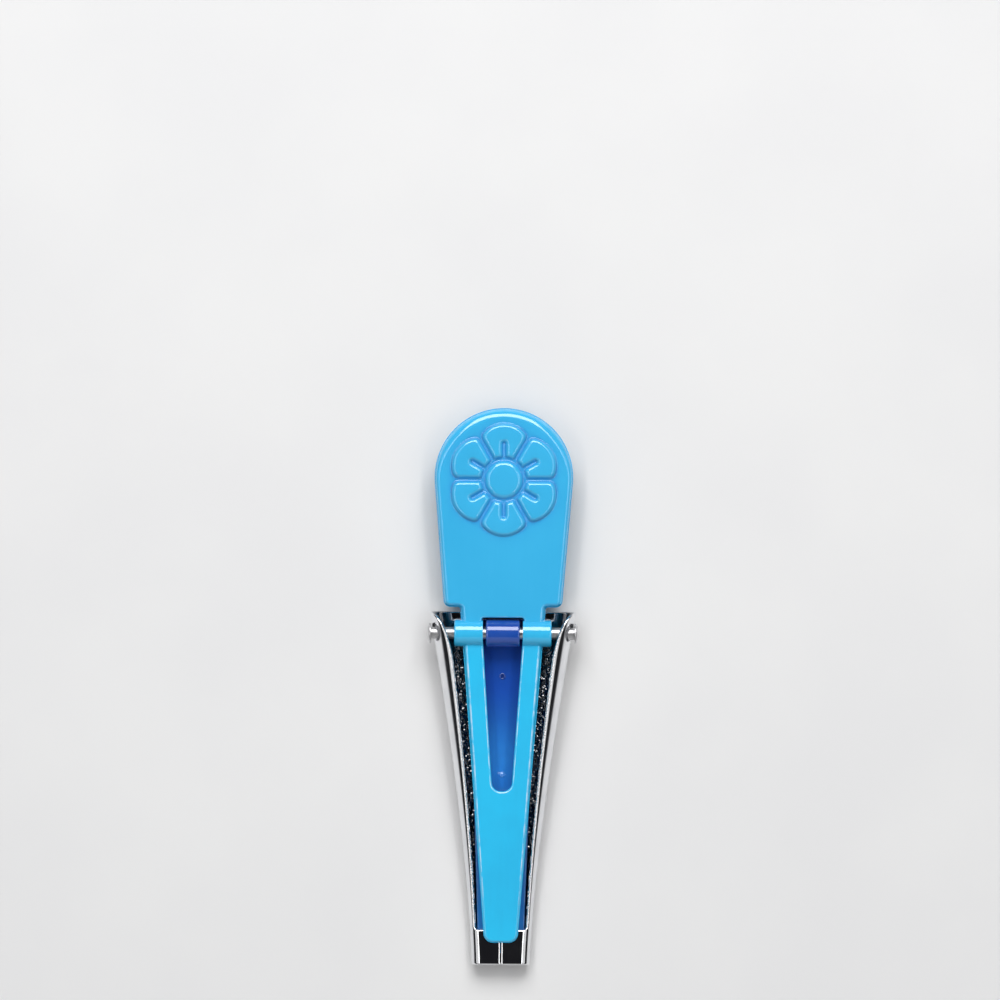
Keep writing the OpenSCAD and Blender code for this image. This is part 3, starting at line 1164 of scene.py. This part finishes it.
@dataclass
class Flower:
    """The raised flower: a round middle and six petals, each with a short groove."""

    middle_y: float
    petals: int = 6
    reach: float = 6.8
    disc_radius: float = 2.25
    ring_width: float = 0.55
    petal_gap: float = 0.52
    end_radius: float = 3.3
    groove_width: float = 0.5
    groove_length: float = 1.85
    relief: float = 0.40
    crown: float = 0.09
    crown_reach: float = 2.25
    corner: float = 0.30
    end_corner_share: float = 1.8
    groove_corner_share: float = 0.7
    petal_rim: float = 0.49
    disc_rim: float = 0.62
    overhang: float = 0.09
    foot: float = 0.13
    # Reaches and shares of the painted shade in and around the flower's gaps.
    near_shade_reach: float = 0.24
    shade_reach: float = 0.9
    shade_share: float = 0.35
    outer_shade: float = 0.5
    border_radius: float = 7.1
    edge_spacing: float = 0.13
    top_spacing: float = 0.4
    face_spacing: float = 0.28
    circle_steps: int = 120
    end_steps: int = 32
    root_steps: int = 10
    bow_steps: int = 8
    rim_steps: int = 10
    foot_steps: int = 4
    settle_rounds: int = 5
    settle_step: float = 1e-4

    @property
    def root_radius(self) -> float:
        """Give the radius that the petals begin at."""
        return self.disc_radius + self.ring_width

    @property
    def groove_end(self) -> float:
        """Give how far out the middle of a groove's round end lies."""
        return self.root_radius + self.groove_length - self.groove_width / 2

    @staticmethod
    def _blend_max(first: np.ndarray, second: np.ndarray, width: float) -> np.ndarray:
        """Give the larger of two values with a rounded changeover."""
        near = np.maximum(width - np.abs(first - second), 0.0) / width
        return np.maximum(first, second) + near * near * width / 4

    def _petal_edge(self, aside: np.ndarray, along: np.ndarray) -> np.ndarray:
        """Give the distance to the edge of the petal that points along +Y, negative inside.

        Args:
            aside: distance from the petal's middle line.
            along: distance along that line from the flower's middle.

        Returns:
            The distance.
        """
        half = math.pi / self.petals
        aside = np.abs(aside)
        side = self.petal_gap / 2 - (along * math.sin(half) - aside * math.cos(half))
        end = np.hypot(along - (self.reach - self.end_radius), aside) - self.end_radius
        root = self.root_radius - np.hypot(along, aside)
        edge = self._blend_max(side, end, self.end_corner_share * self.corner)
        edge = self._blend_max(edge, root, self.corner)
        groove = np.hypot(np.maximum(along - self.groove_end, 0.0), aside) - self.groove_width / 2
        return self._blend_max(edge, -groove, self.groove_corner_share * self.corner)

    def _disc_edge(self, aside: np.ndarray, along: np.ndarray) -> np.ndarray:
        """Give the distance to the edge of the round middle, negative inside."""
        return np.hypot(aside, along) - self.disc_radius

    def _rise(self, edge: np.ndarray, rim: float) -> np.ndarray:
        """Give the height of a form with a wide round rim and a tight round foot.

        Args:
            edge: distance to the form's edge, negative inside.
            rim: width of the round rim.

        Returns:
            The height above the handle's face.
        """
        steep = 2 * self.relief / (rim + self.foot)
        down = np.clip(edge - self.overhang + rim, 0.0, rim)
        out = np.clip(edge - self.overhang, 0.0, self.foot)
        fall = steep * (down * down / (2 * rim) + out - out * out / (2 * self.foot))
        swell = np.sin(np.clip(-edge / self.crown_reach, 0.0, 1.0) * math.pi / 2)
        return self.relief - fall + self.crown * swell

    def _local(self, x: np.ndarray, y: np.ndarray) -> tuple[np.ndarray, np.ndarray]:
        """Turn places on the handle to the petal that points along +Y.

        Args:
            x: places across the handle.
            y: places along the handle.

        Returns:
            Distances beside and along the nearest petal's middle line.
        """
        radius = np.hypot(x, y - self.middle_y)
        turn = np.arctan2(x, y - self.middle_y)
        sector = math.tau / self.petals
        turn = turn - sector * np.round(turn / sector)
        return radius * np.sin(turn), radius * np.cos(turn)

    def height(self, x: np.ndarray, y: np.ndarray) -> np.ndarray:
        """Give the flower's height above the handle's face.

        Args:
            x: places across the handle.
            y: places along the handle.

        Returns:
            The heights.
        """
        spot = self._local(x, y)
        petal = self._rise(self._petal_edge(*spot), self.petal_rim)
        return np.maximum(petal, self._rise(self._disc_edge(*spot), self.disc_rim))

    def recess(self, x: np.ndarray, y: np.ndarray) -> np.ndarray:
        """Give how much painted shade a place gets, from 0 to 1.

        Args:
            x: places across the handle.
            y: places along the handle.

        Returns:
            1 at the foot of a petal, falling off away from it and up its side.
        """
        spot = self._local(x, y)
        edge = np.minimum(self._petal_edge(*spot), self._disc_edge(*spot)) - self.overhang
        away = np.maximum(edge, 0.0)
        near, wide = (np.exp(-((away / reach) ** 2)) for reach in (self.near_shade_reach, self.shade_reach))
        outside = mix(near, wide, self.shade_share)
        beyond = np.clip((np.hypot(*spot) - self.reach) / self.foot + 1.0, 0.0, 1.0)
        side = np.clip(1.0 + edge / (self.petal_rim / 2), 0.0, 1.0)
        return outside * side * mix(1.0, self.outer_shade, beyond)

    def _petal_loop(self) -> np.ndarray:
        """Give the outline of the petal that points along +Y, with its groove.

        Returns:
            Points of the closed outline with sharp corners, anticlockwise.
        """
        half = math.pi / self.petals
        centre, gap, root = self.reach - self.end_radius, self.petal_gap / 2, self.root_radius
        groove = self.groove_width / 2
        widest = half - math.asin((gap - centre * math.sin(half)) / self.end_radius)
        end = np.linspace(0.0, widest, self.end_steps)
        foot = np.linspace(half - math.asin(gap / root), math.asin(groove / root), self.root_steps)
        bow = np.linspace(math.pi / 2, 0.0, self.bow_steps)
        left = [(-self.end_radius * math.sin(a), centre + self.end_radius * math.cos(a)) for a in end]
        left += [(-root * math.sin(a), root * math.cos(a)) for a in foot]
        left += [(-groove * math.sin(a), self.groove_end + groove * math.cos(a)) for a in bow]
        return np.array(left + [(-x, y) for x, y in reversed(left[1:-1])])

    def _spaced(self, loop: np.ndarray) -> np.ndarray:
        """Space the points of a closed outline evenly.

        Args:
            loop: the outline's points.

        Returns:
            The evenly spaced points.
        """
        closed = np.vstack([loop, loop[:1]])
        run = np.concatenate([[0.0], np.cumsum(np.linalg.norm(np.diff(closed, axis=0), axis=1))])
        marks = np.linspace(0.0, run[-1], round(run[-1] / self.edge_spacing / 2) * 2 + 1)[:-1]
        return np.column_stack([np.interp(marks, run, closed[:, axis]) for axis in (0, 1)])

    def _settle(self, loop: np.ndarray, edge: Height, level: float) -> np.ndarray:
        """Move points straight towards or away from an edge until they lie at a distance from it.

        Args:
            loop: the points.
            edge: gives the distance to the edge.
            level: the distance that is wanted.

        Returns:
            The moved points.
        """
        step = self.settle_step
        for _ in range(self.settle_rounds):
            x, y = loop.T
            slope = np.column_stack([
                edge(x + step, y) - edge(x - step, y),
                edge(x, y + step) - edge(x, y - step),
            ]) / (2 * step)
            loop = loop - slope * ((edge(x, y) - level) / np.sum(slope * slope, axis=1))[:, None]
        return loop

    def _contours(self, loop: np.ndarray, edge: Height, rim: float) -> Contours:
        """Give outlines at rising distances from a form's edge, close together where it turns.

        Args:
            loop: the form's outline.
            edge: gives the distance to it.
            rim: width of the round rim.

        Returns:
            Pairs of distance and outline, from the foot to the flat top.
        """
        levels = [self.overhang - rim * k / self.rim_steps for k in range(self.rim_steps + 1)]
        levels += [self.overhang + self.foot * k / self.foot_steps for k in range(1, self.foot_steps + 1)]
        inward = sorted((level for level in levels if level < 0), reverse=True)
        outward = sorted(level for level in levels if level >= 0)
        start = self._settle(self._spaced(self._settle(loop, edge, 0.0)), edge, 0.0)
        made: Contours = []
        for levels in (inward, outward):
            moved = start
            for level in levels:
                moved = self._settle(moved, edge, level)
                made.append((level, moved))
        return sorted(made, key=lambda pair: -pair[0])

    def _form(
        self, sketch: MeshSketch, contours: Contours, rim: float, turn: float, face_z: float
    ) -> list[int]:
        """Draw a petal or the middle.

        Args:
            sketch: the mesh that it belongs to.
            contours: its distances and outlines.
            rim: width of its round rim.
            turn: angle in radians, clockwise from +Y.
            face_z: the handle's face.

        Returns:
            The points of the ring at its foot.
        """
        spin = np.array([[math.cos(turn), -math.sin(turn)], [math.sin(turn), math.cos(turn)]])
        rings = []
        for level, loop in contours:
            height = float(self._rise(np.array([level]), rim)[0])
            rings.append(sketch.ring(loop @ spin + (0.0, self.middle_y), face_z + height))
        sketch.stack(rings)
        sketch.fill(rings[-1], [], self.top_spacing, lambda x, y: face_z + self.height(x, y))
        return rings[0]

    def draw(self, sketch: MeshSketch, face_z: float) -> list[int]:
        """Draw the relief and the face around it.

        Args:
            sketch: the mesh that it belongs to.
            face_z: the handle's face.

        Returns:
            The points of a circle round the flower, which lie on the face.
        """
        turns = np.arange(self.circle_steps) * math.tau / self.circle_steps
        circle = np.column_stack([np.cos(turns), np.sin(turns)])
        disc = self._contours(self.disc_radius * circle, self._disc_edge, self.disc_rim)
        petal = self._contours(self._petal_loop(), self._petal_edge, self.petal_rim)
        feet = [self._form(sketch, disc, self.disc_rim, 0.0, face_z)]
        for k in range(self.petals):
            feet.append(self._form(sketch, petal, self.petal_rim, math.tau * k / self.petals, face_z))
        border = sketch.ring(self.border_radius * circle + (0.0, self.middle_y), face_z)
        sketch.fill(border, feet, self.face_spacing, lambda x, y: np.full_like(x, face_z))
        return border


@dataclass
class GuideArm:
    """The moulded arm: a round-ended handle, a tapering tongue with a slot, and a hinge barrel."""

    layout: Layout
    handle_length: float = 24.3
    shoulder_width: float = 14.5
    shoulder_radius: float = 0.8
    inner_corner: float = 0.3
    thickness: float = 2.4
    tip_thickness: float = 1.4
    root_width: float = 10.45
    tip_width: float = 4.05
    tip_radius: float = 1.15
    pin_height: float = 1.5
    parting_ledge: float = 0.09
    edge_width: float = 0.52
    end_edge_width: float = 1.24
    tip_edge_width: float = 0.24
    edge_drop: float = 0.66
    end_edge_drop: float = 1.12
    tip_edge_drop: float = 0.34
    end_edge_start: float = 0.60
    end_edge_full: float = 0.95
    under_radius: float = 0.25
    slot_setback: float = 1.3
    slot_length: float = 21.2
    slot_start_width: float = 5.2
    slot_end_width: float = 2.5
    slot_end_share: float = 0.97
    slot_corner: float = 0.35
    slot_edge: float = 0.25
    flower_reach: float = 8.75
    bore_radius: float = 0.8
    barrel_wall: float = 0.85
    barrel_inner: float = 2.45
    barrel_outer: float = 5.95
    barrel_edge: float = 0.22
    tone_run: float = 7.0
    # Place of the painted highlight line across the edge round, and its fade at both ends.
    highlight_start: float = 0.35
    highlight_peak: float = 0.74
    highlight_fade: float = 4.0
    point_spacing: float = 0.9
    face_spacing: float = 0.7
    under_spacing: float = 1.6
    outline_fineness: int = 24
    slot_fineness: int = 16
    edge_steps: int = 16
    crisp: float = 38.0
    flower: Flower = field(init=False)

    def __post_init__(self) -> None:
        """Place the flower on the handle."""
        self.flower = Flower(self.layout.handle_end_y - self.flower_reach)

    @property
    def shoulder_y(self) -> float:
        """Give where the handle ends and the tongue begins."""
        return self.layout.handle_end_y - self.handle_length

    @property
    def under_z(self) -> float:
        """Give the level of the flat underside."""
        return self.layout.pin_z - self.pin_height

    @property
    def face_z(self) -> float:
        """Give the level of the handle's face."""
        return self.under_z + self.thickness

    @property
    def barrel_radius(self) -> float:
        """Give the barrel's outer radius."""
        return self.bore_radius + self.barrel_wall

    def under(self, x: np.ndarray, y: np.ndarray) -> np.ndarray:
        """Give the level of the lower face."""
        return np.full_like(x, self.under_z)

    def top(self, x: np.ndarray, y: np.ndarray) -> np.ndarray:
        """Give the level of the upper face, which slopes down along the tongue.

        Args:
            x: places across the arm.
            y: places along the arm.

        Returns:
            The levels.
        """
        end = self.layout.tongue_tip_y + self.tip_radius
        share = np.clip((self.shoulder_y - y) / (self.shoulder_y - end), 0.0, 1.0)
        return self.under_z + mix(self.thickness, self.tip_thickness, share)

    def tongue_share(self, y: Any) -> Any:
        """Give 0 at the shoulder and 1 at the tongue's tip."""
        return (self.shoulder_y - y) / (self.shoulder_y - self.layout.tongue_tip_y)

    def tongue_half(self, y: float) -> float:
        """Give half the tongue's width."""
        return mix(self.root_width, self.tip_width, self.tongue_share(y)) / 2

    def _handle_side(self, y: float) -> float:
        """Give where the handle's straight side crosses a station.

        Args:
            y: the station.

        Returns:
            The distance from the middle line.
        """
        big, small = self.layout.handle_radius, self.shoulder_radius
        corner = np.array([self.shoulder_width / 2 - small, self.shoulder_y + small])
        end = np.array([0.0, self.layout.handle_end_y - big])
        run = end - corner
        turn = math.atan2(run[1], run[0]) - math.acos((small - big) / float(np.linalg.norm(run)))
        normal = np.array([math.cos(turn), math.sin(turn)])
        level = normal @ corner + small
        return float((level - normal[1] * y) / normal[0])

    def outline(self) -> np.ndarray:
        """Give the arm's outline in plan.

        Returns:
            Points of the closed outline, anticlockwise.
        """
        tip, shoulder, end = self.layout.tongue_tip_y, self.shoulder_y, self.layout.handle_end_y
        right = [
            (self.tongue_half(tip), tip),
            (self.tongue_half(shoulder), shoulder),
            (self._handle_side(shoulder), shoulder),
            (self._handle_side(end), end),
        ]
        radii = [self.tip_radius, self.inner_corner, self.shoulder_radius, self.layout.handle_radius]
        corners = right + [(-x, y) for x, y in reversed(right)]
        return rounded_loop(corners, radii + radii[::-1], self.point_spacing, self.outline_fineness)

    def slot(self) -> np.ndarray:
        """Give the slot's outline in plan.

        Returns:
            Points of the closed outline, anticlockwise.
        """
        start = self.shoulder_y - self.slot_setback
        end = start - self.slot_length
        radius = self.slot_end_width / 2
        slope = (self.slot_start_width - self.slot_end_width) / 2 / (self.slot_length - radius)
        far = radius - slope * radius
        corners = [(far, end), (self.slot_start_width / 2, start)]
        corners += [(-x, y) for x, y in reversed(corners)]
        round_end = self.slot_end_share * far
        radii = [round_end, self.slot_corner, self.slot_corner, round_end]
        return rounded_loop(corners, radii, self.point_spacing, self.slot_fineness)

    def _edge_round(self, y: np.ndarray) -> tuple[np.ndarray, np.ndarray]:
        """Give the round of the upper edge, which is wide at the handle's end and fine at the tip.

        Args:
            y: places along the arm.

        Returns:
            How far the round reaches in from the wall, and how far down from the face.
        """
        share = (y - self.shoulder_y) / self.handle_length
        grow = np.clip((share - self.end_edge_start) / (self.end_edge_full - self.end_edge_start), 0.0, 1.0)
        grow = grow * grow * (3 - 2 * grow)
        thin = np.clip(self.tongue_share(y), 0.0, 1.0)
        widths = mix(self.edge_width, self.end_edge_width, grow)
        drops = mix(self.edge_drop, self.end_edge_drop, grow)
        return (
            widths + (self.tip_edge_width - self.edge_width) * thin,
            drops + (self.tip_edge_drop - self.edge_drop) * thin,
        )

    def build(self) -> bpy.types.Object:
        """Make the arm as one closed moulding.

        Returns:
            The arm's object.
        """
        sketch = MeshSketch()
        outline = self.outline()
        rings = []
        for inset, rise in reversed(round_edge(self.under_radius, self.under_radius)):
            rings.append(sketch.ring(inset_loop(outline, inset), self.under_z + rise))
        widths, drops = self._edge_round(outline[:, 1])
        rings.append(sketch.ring(outline, self.top(outline[:, 0], outline[:, 1]) - drops))
        for inset, drop in round_edge(1.0, 1.0, self.edge_steps):
            loop = inset_loop(outline, self.parting_ledge + inset * widths[:, None])
            rings.append(sketch.ring(loop, self.top(loop[:, 0], loop[:, 1]) - drop * drops))
        sketch.stack(rings)
        holes = sketch.wall(self.slot(), self.slot_edge, self.under, self.top, -1)
        border = self.flower.draw(sketch, self.face_z)
        sketch.fill(rings[-1], [holes[-1], border], self.face_spacing, self.top)
        sketch.fill(rings[0], [holes[0]], self.under_spacing, self.under)
        arm = sketch.piece("guide_arm_moulding")
        self._add_barrel(arm)
        smooth(arm, self.crisp)
        return arm

    def _add_barrel(self, arm: bpy.types.Object) -> None:
        """Add the hinge barrel on both sides of the slot and bore it.

        Args:
            arm: the arm's object.
        """
        edge = round_edge(self.barrel_edge, self.barrel_edge)
        section = [(self.barrel_inner, self.bore_radius / 2), (self.barrel_inner, self.barrel_radius)]
        section += [(self.barrel_outer - drop, self.barrel_radius - inset) for inset, drop in edge]
        section += [(self.barrel_outer, self.bore_radius / 2)]
        for side in (-1, 1):
            barrel = turned("barrel", [(side * x, radius) for x, radius in section], self.layout.pin_axis)
            combine(arm, barrel, Cut.JOIN)
        bore(arm, self.barrel_outer, self.bore_radius, self.layout.pin_axis)

    def _mark_painted_shade(self, arm: bpy.types.Object) -> None:
        """Note the painted shade in and around the flower's gaps on the arm's points.

        Args:
            arm: the arm's object.
        """
        x, y, z = places(arm).T
        note(arm, PAINTED_SHADE_LAYER, self.flower.recess(x, y) * (z > self.face_z - self.slot_edge))

    def _paint_rail_highlight(self, arm: bpy.types.Object) -> None:
        """Note a painted highlight line along the rails' upper edges.

        Args:
            arm: the arm's object.
        """
        spots = places(arm)
        x, y, z = spots.T
        widths, drops = self._edge_round(y)
        outer = (edge_distance(self.outline(), spots[:, :2]) - self.parting_ledge) / widths
        inner = edge_distance(self.slot(), spots[:, :2]) / self.slot_edge
        place, share = (self.highlight_start, self.highlight_peak, 1.0), (0.0, 1.0, 0.0)
        line = np.maximum(np.interp(outer, place, share), np.interp(inner, place, share))
        line *= np.clip((self.shoulder_y - y) / self.highlight_fade, 0.0, 1.0)
        line *= np.clip((y - self.layout.tongue_tip_y - self.highlight_fade) / self.highlight_fade, 0.0, 1.0)
        knuckle = np.abs(y - self.layout.pin_y) < self.barrel_radius + self.barrel_edge
        note(arm, WEAR_AND_HIGHLIGHT_LAYER, np.where(knuckle | (z < self.top(x, y) - drops), 0.0, line))

    def dress(self, arm: bpy.types.Object) -> None:
        """Give the arm its sky-blue plastic.

        Args:
            arm: the arm's object.
        """
        self._mark_painted_shade(arm)
        self._paint_rail_highlight(arm)
        finish = MouldedPlastic(
            name="arm_plastic",
            colour=(0.051, 0.470, 0.82, 1.0),
            deep_colour=(0.034, 0.40, 0.74, 1.0),
            far_colour=(0.034, 0.565, 0.93, 1.0),
            near_y=self.shoulder_y,
            far_y=self.shoulder_y - self.tone_run,
            # Share of the painted highlight line along the rails.
            wear_and_highlight_share=0.9,
        )
        dress(arm, finish, Body.ARM, "guide_arm")


@dataclass
class InnerGuide:
    """The dark-blue guide inside the shell: a thin plate, a hinge lug and two small marks."""

    layout: Layout
    tip_width: float = 5.6
    rear_width: float = 8.2
    tip_radius: float = 0.9
    rear_radius: float = 1.2
    tip_under: float = 0.9
    rear_under: float = 1.2
    tip_thickness: float = 0.6
    rear_thickness: float = 0.7
    edge: float = 0.18
    lug_half: float = 2.06
    lug_radius: float = 1.65
    lug_edge: float = 0.2
    bore_radius: float = 0.75
    web_rear: float = 0.8
    mark_height: float = 0.1
    mark_sink: float = 0.1
    ring_radius: float = 0.4
    ring_bore: float = 0.2
    dot_radius: float = 0.36
    ring_y: float = 1.25
    dot_y: float = -10.85
    tone_lead: float = 0.7
    tone_trail: float = 1.3
    point_spacing: float = 0.9
    face_spacing: float = 1.1
    under_spacing: float = 1.6
    fineness: int = 14
    lug_steps: int = 48
    mark_steps: int = 14
    mark_sides: int = 48
    crisp: float = 38.0

    def _share(self, y: Any) -> Any:
        """Tell how far along the plate a place lies.

        Args:
            y: places along the guide.

        Returns:
            0 at the tip and 1 at the rear.
        """
        low = self.layout.guide_tip_y + self.tip_radius
        high = self.layout.guide_rear_y - self.rear_radius
        return np.clip((y - low) / (high - low), 0.0, 1.0)

    def under(self, x: np.ndarray, y: np.ndarray) -> np.ndarray:
        """Give the level of the lower face."""
        return mix(self.tip_under, self.rear_under, self._share(y))

    def top(self, x: np.ndarray, y: np.ndarray) -> np.ndarray:
        """Give the level of the upper face."""
        return self.under(x, y) + mix(self.tip_thickness, self.rear_thickness, self._share(y))

    def _level(self, y: float) -> float:
        """Give the level of the upper face on the middle line."""
        return float(self.top(np.zeros(1), np.array([y]))[0])

    def build(self) -> bpy.types.Object:
        """Make the guide as one closed moulding.

        Returns:
            The guide's object.
        """
        tip, rear = self.layout.guide_tip_y, self.layout.guide_rear_y
        corners = [(self.tip_width / 2, tip), (self.rear_width / 2, rear)]
        corners += [(-x, y) for x, y in reversed(corners)]
        radii = [self.tip_radius, self.rear_radius, self.rear_radius, self.tip_radius]
        outline = rounded_loop(corners, radii, self.point_spacing, self.fineness)
        sketch = MeshSketch()
        rings = sketch.wall(outline, self.edge, self.under, self.top)
        sketch.fill(rings[-1], [], self.face_spacing, self.top)
        sketch.fill(rings[0], [], self.under_spacing, self.under)
        guide = sketch.piece("inner_guide_moulding")
        for solid in (self._lug(), self._ring_mark(), self._dot_mark()):
            combine(guide, solid, Cut.JOIN)
        bore(guide, self.lug_half, self.bore_radius, self.layout.pin_axis)
        smooth(guide, self.crisp)
        return guide

    def _lug(self) -> bpy.types.Object:
        """Make the lug that the pin passes through.

        Returns:
            The lug's object.
        """
        y, z = self.layout.pin_axis
        base = self._level(y) - self.rear_thickness / 2
        low = -math.asin(math.sqrt(1 - (self.web_rear / self.lug_radius) ** 2))
        turns = np.linspace(low, math.pi, self.lug_steps)
        arc = [(y + self.lug_radius * math.cos(a), z + self.lug_radius * math.sin(a)) for a in turns]
        loop = np.array([(y - self.lug_radius, base), (y + self.web_rear, base), *arc])
        edge = round_edge(self.lug_edge, self.lug_edge)
        ends = [(inset, -(self.lug_half - drop)) for inset, drop in reversed(edge)]
        ends += [(inset, self.lug_half - drop) for inset, drop in edge]
        sketch = MeshSketch()
        rings = []
        for inset, x in ends:
            moved = inset_loop(loop, inset)
            rings.append(sketch.add(np.column_stack([np.full(len(moved), x), moved])))
        sketch.stack(rings)
        sketch.faces += [tuple(rings[0]), tuple(rings[-1])]
        return sketch.piece("lug")

    def _ring_mark(self) -> bpy.types.Object:
        """Make the small raised ring on the upper face.

        Returns:
            The ring's object.
        """
        level = self._level(self.ring_y)
        middle, half = (self.ring_radius + self.ring_bore) / 2, (self.ring_radius - self.ring_bore) / 2
        turns = [math.pi * k / self.mark_steps for k in range(self.mark_steps + 1)]
        section = [(level + self.mark_height * math.sin(a), middle + half * math.cos(a)) for a in turns]
        section += [(level - self.mark_sink, middle - half), (level - self.mark_sink, middle + half)]
        return turned("mark", section, (0.0, self.ring_y), Axis.UPRIGHT, self.mark_sides)

    def _dot_mark(self) -> bpy.types.Object:
        """Make the small domed dot on the upper face.

        Returns:
            The dot's object.
        """
        level = self._level(self.dot_y)
        bow = [1.0 - k / self.mark_steps for k in range(self.mark_steps + 1)]
        section = [(level - self.mark_sink, 0.0), (level - self.mark_sink, self.dot_radius)]
        section += [(level + self.mark_height * (1 - k * k), self.dot_radius * k) for k in bow]
        return turned("mark", section, (0.0, self.dot_y), Axis.UPRIGHT, self.mark_sides)

    def _mark_ring_shade(self, guide: bpy.types.Object) -> None:
        """Note painted shade over the ring mark on the guide's points, darkest in its hollow.

        Args:
            guide: the guide's object.
        """
        x, y, _ = places(guide).T
        away = np.hypot(x, y - self.ring_y)
        deep = np.clip((self.ring_radius - away) / (self.ring_radius - self.ring_bore), 0.0, 1.0)
        note(guide, PAINTED_SHADE_LAYER, deep)

    def dress(self, guide: bpy.types.Object) -> None:
        """Give the guide its dark-blue plastic.

        Args:
            guide: the guide's object.
        """
        self._mark_ring_shade(guide)
        mark_edges(guide)
        finish = MouldedPlastic(
            name="guide_plastic",
            colour=(0.014, 0.078, 0.41, 1.0),
            deep_colour=(0.012, 0.060, 0.33, 1.0),
            far_colour=(0.032, 0.24, 0.66, 1.0),
            near_y=self.ring_y - self.tone_lead,
            far_y=self.dot_y + self.tone_trail,
            # Painted shade over the ring mark, darkest in its hollow.
            painted_shade_colour=(0.006, 0.022, 0.15, 1.0),
            painted_shade_share=0.8,
        )
        dress(guide, finish, Body.FOLDER, "inner_guide")


@dataclass
class HingePin:
    """The steel pin across the mouth, with a domed head at each end."""

    layout: Layout
    radius: float = 0.74
    head_radius: float = 1.2
    head_height: float = 0.5
    head_bevel: float = 0.05
    rim: float = 0.14
    dome_steps: int = 10
    sides: int = 64
    crisp: float = 40.0

    def build(self) -> bpy.types.Object:
        """Make the pin.

        Returns:
            The pin's object.
        """
        seat = self.layout.pin_reach - self.head_height
        dome = self.head_height - self.rim
        right = [(seat, self.radius), (seat, self.head_radius - self.head_bevel)]
        right += [(seat + self.head_bevel, self.head_radius)]
        turns = [math.pi / 2 * k / self.dome_steps for k in range(self.dome_steps + 1)]
        right += [(seat + self.rim + dome * math.sin(a), self.head_radius * math.cos(a)) for a in turns]
        section = [(-x, radius) for x, radius in reversed(right)] + right
        pin = turned("hinge_pin_turned", section, self.layout.pin_axis, sides=self.sides)
        smooth(pin, self.crisp)
        return pin

    def dress(self, pin: bpy.types.Object) -> None:
        """Give the pin its turned steel."""
        finish = TurnedSteel("pin_steel", self.layout.pin_y, self.layout.pin_z)
        dress(pin, finish, Body.FOLDER, "hinge_pin")


# Studio


@dataclass(frozen=True)
class SoftLamp:
    """A rectangular soft lamp that faces the tool, with its power in watts."""

    name: str
    place: Triple
    size: Pair
    power: float

    def hang(self) -> None:
        """Put the lamp into the scene."""
        lamp = bpy.data.lights.new(self.name, "AREA")
        lamp.shape = "RECTANGLE"
        lamp.size, lamp.size_y = (side * MM for side in self.size)
        lamp.energy = self.power
        hung = bpy.data.objects.new(self.name, lamp)
        hung.location = Vector(self.place) * MM
        hung.rotation_euler = (-hung.location).to_track_quat("-Z", "Y").to_euler()
        bpy.context.scene.collection.objects.link(hung)


@dataclass
class Studio:
    """Pale floor, soft lamps, a room with a dark ceiling and the camera straight above."""

    view_width: float = 121.95
    view_x: float = -0.46
    view_y: float = 22.83
    view_z: float = 4.85
    view_roll: float = 0.40
    distance: float = 800.0
    sensor: float = 36.0
    nearest: float = 10.0
    floor_size: float = 2400.0
    floor_z: float = -0.01
    lamps: tuple[SoftLamp, ...] = (
        SoftLamp("key", (0.0, 420.0, 430.0), (540.0, 330.0), 3.5),
        SoftLamp("left_strip", (-206.0, 0.0, 510.0), (520.0, 64.0), 0.43),
        SoftLamp("left_panel", (-402.0, 0.0, 431.0), (520.0, 316.0), 0.39),
        SoftLamp("right_strip", (206.0, 0.0, 510.0), (520.0, 64.0), 0.43),
        SoftLamp("right_panel", (402.0, 0.0, 431.0), (520.0, 316.0), 0.39),
        SoftLamp("front", (0.0, -470.0, 320.0), (900.0, 500.0), 0.60),
    )
    room: tuple[tuple[float, Colour], ...] = (
        (0.0, (0.42, 0.42, 0.43, 1.0)),
        (0.05, (0.36, 0.36, 0.37, 1.0)),
        (0.13, (0.020, 0.020, 0.022, 1.0)),
        (0.97, (0.012, 0.012, 0.014, 1.0)),
    )

    def build(self) -> None:
        """Set the floor, lamps, world and camera."""
        self._floor()
        for lamp in self.lamps:
            lamp.hang()
        self._world()
        self._camera()
        bpy.context.scene.view_settings.view_transform = "Standard"

    def _floor(self) -> None:
        """Lay the floor just under the tool."""
        half = self.floor_size / 2
        sketch = MeshSketch()
        corners = [(-half, -half), (half, -half), (half, half), (-half, half)]
        sketch.faces.append(tuple(sketch.ring(np.array(corners), self.floor_z)))
        floor = sketch.piece("studio_floor")
        floor.data.materials.append(StudioPaper("studio_paper").material())

    def _world(self) -> None:
        """Give the room a dark ceiling and pale walls."""
        world = bpy.data.worlds.new("studio_room")
        bpy.context.scene.world = world
        graph = Graph(world)
        way = graph.node("ShaderNodeTexCoord", output="Generated")
        rise = graph.node("ShaderNodeSeparateXYZ", None, {0: way}, "Z")
        tone = graph.node("ShaderNodeValToRGB", {"stops": self.room}, {0: rise})
        light = graph.node("ShaderNodeBackground", None, {"Color": tone, "Strength": 1.0})
        graph.node("ShaderNodeOutputWorld", None, {"Surface": light})

    def _camera(self) -> None:
        """Point the camera straight down."""
        lens = bpy.data.cameras.new("camera")
        lens.sensor_width = self.sensor
        lens.lens = self.sensor * self.distance / self.view_width
        lens.clip_start = self.nearest * MM
        camera = bpy.data.objects.new("camera", lens)
        camera.location = Vector((self.view_x, self.view_y, self.view_z + self.distance)) * MM
        camera.rotation_euler = (0.0, 0.0, math.radians(self.view_roll))
        bpy.context.scene.collection.objects.link(camera)
        bpy.context.scene.camera = camera


def main() -> None:
    """Build and dress each piece, then the studio."""
    logging.basicConfig(level=logging.INFO, format="%(name)s %(message)s")
    layout = Layout.from_frame()
    for maker in (FoldingShell(layout), InnerGuide(layout), HingePin(layout), GuideArm(layout)):
        maker.dress(maker.build())
    Studio().build()


if __name__ == "__main__":
    main()
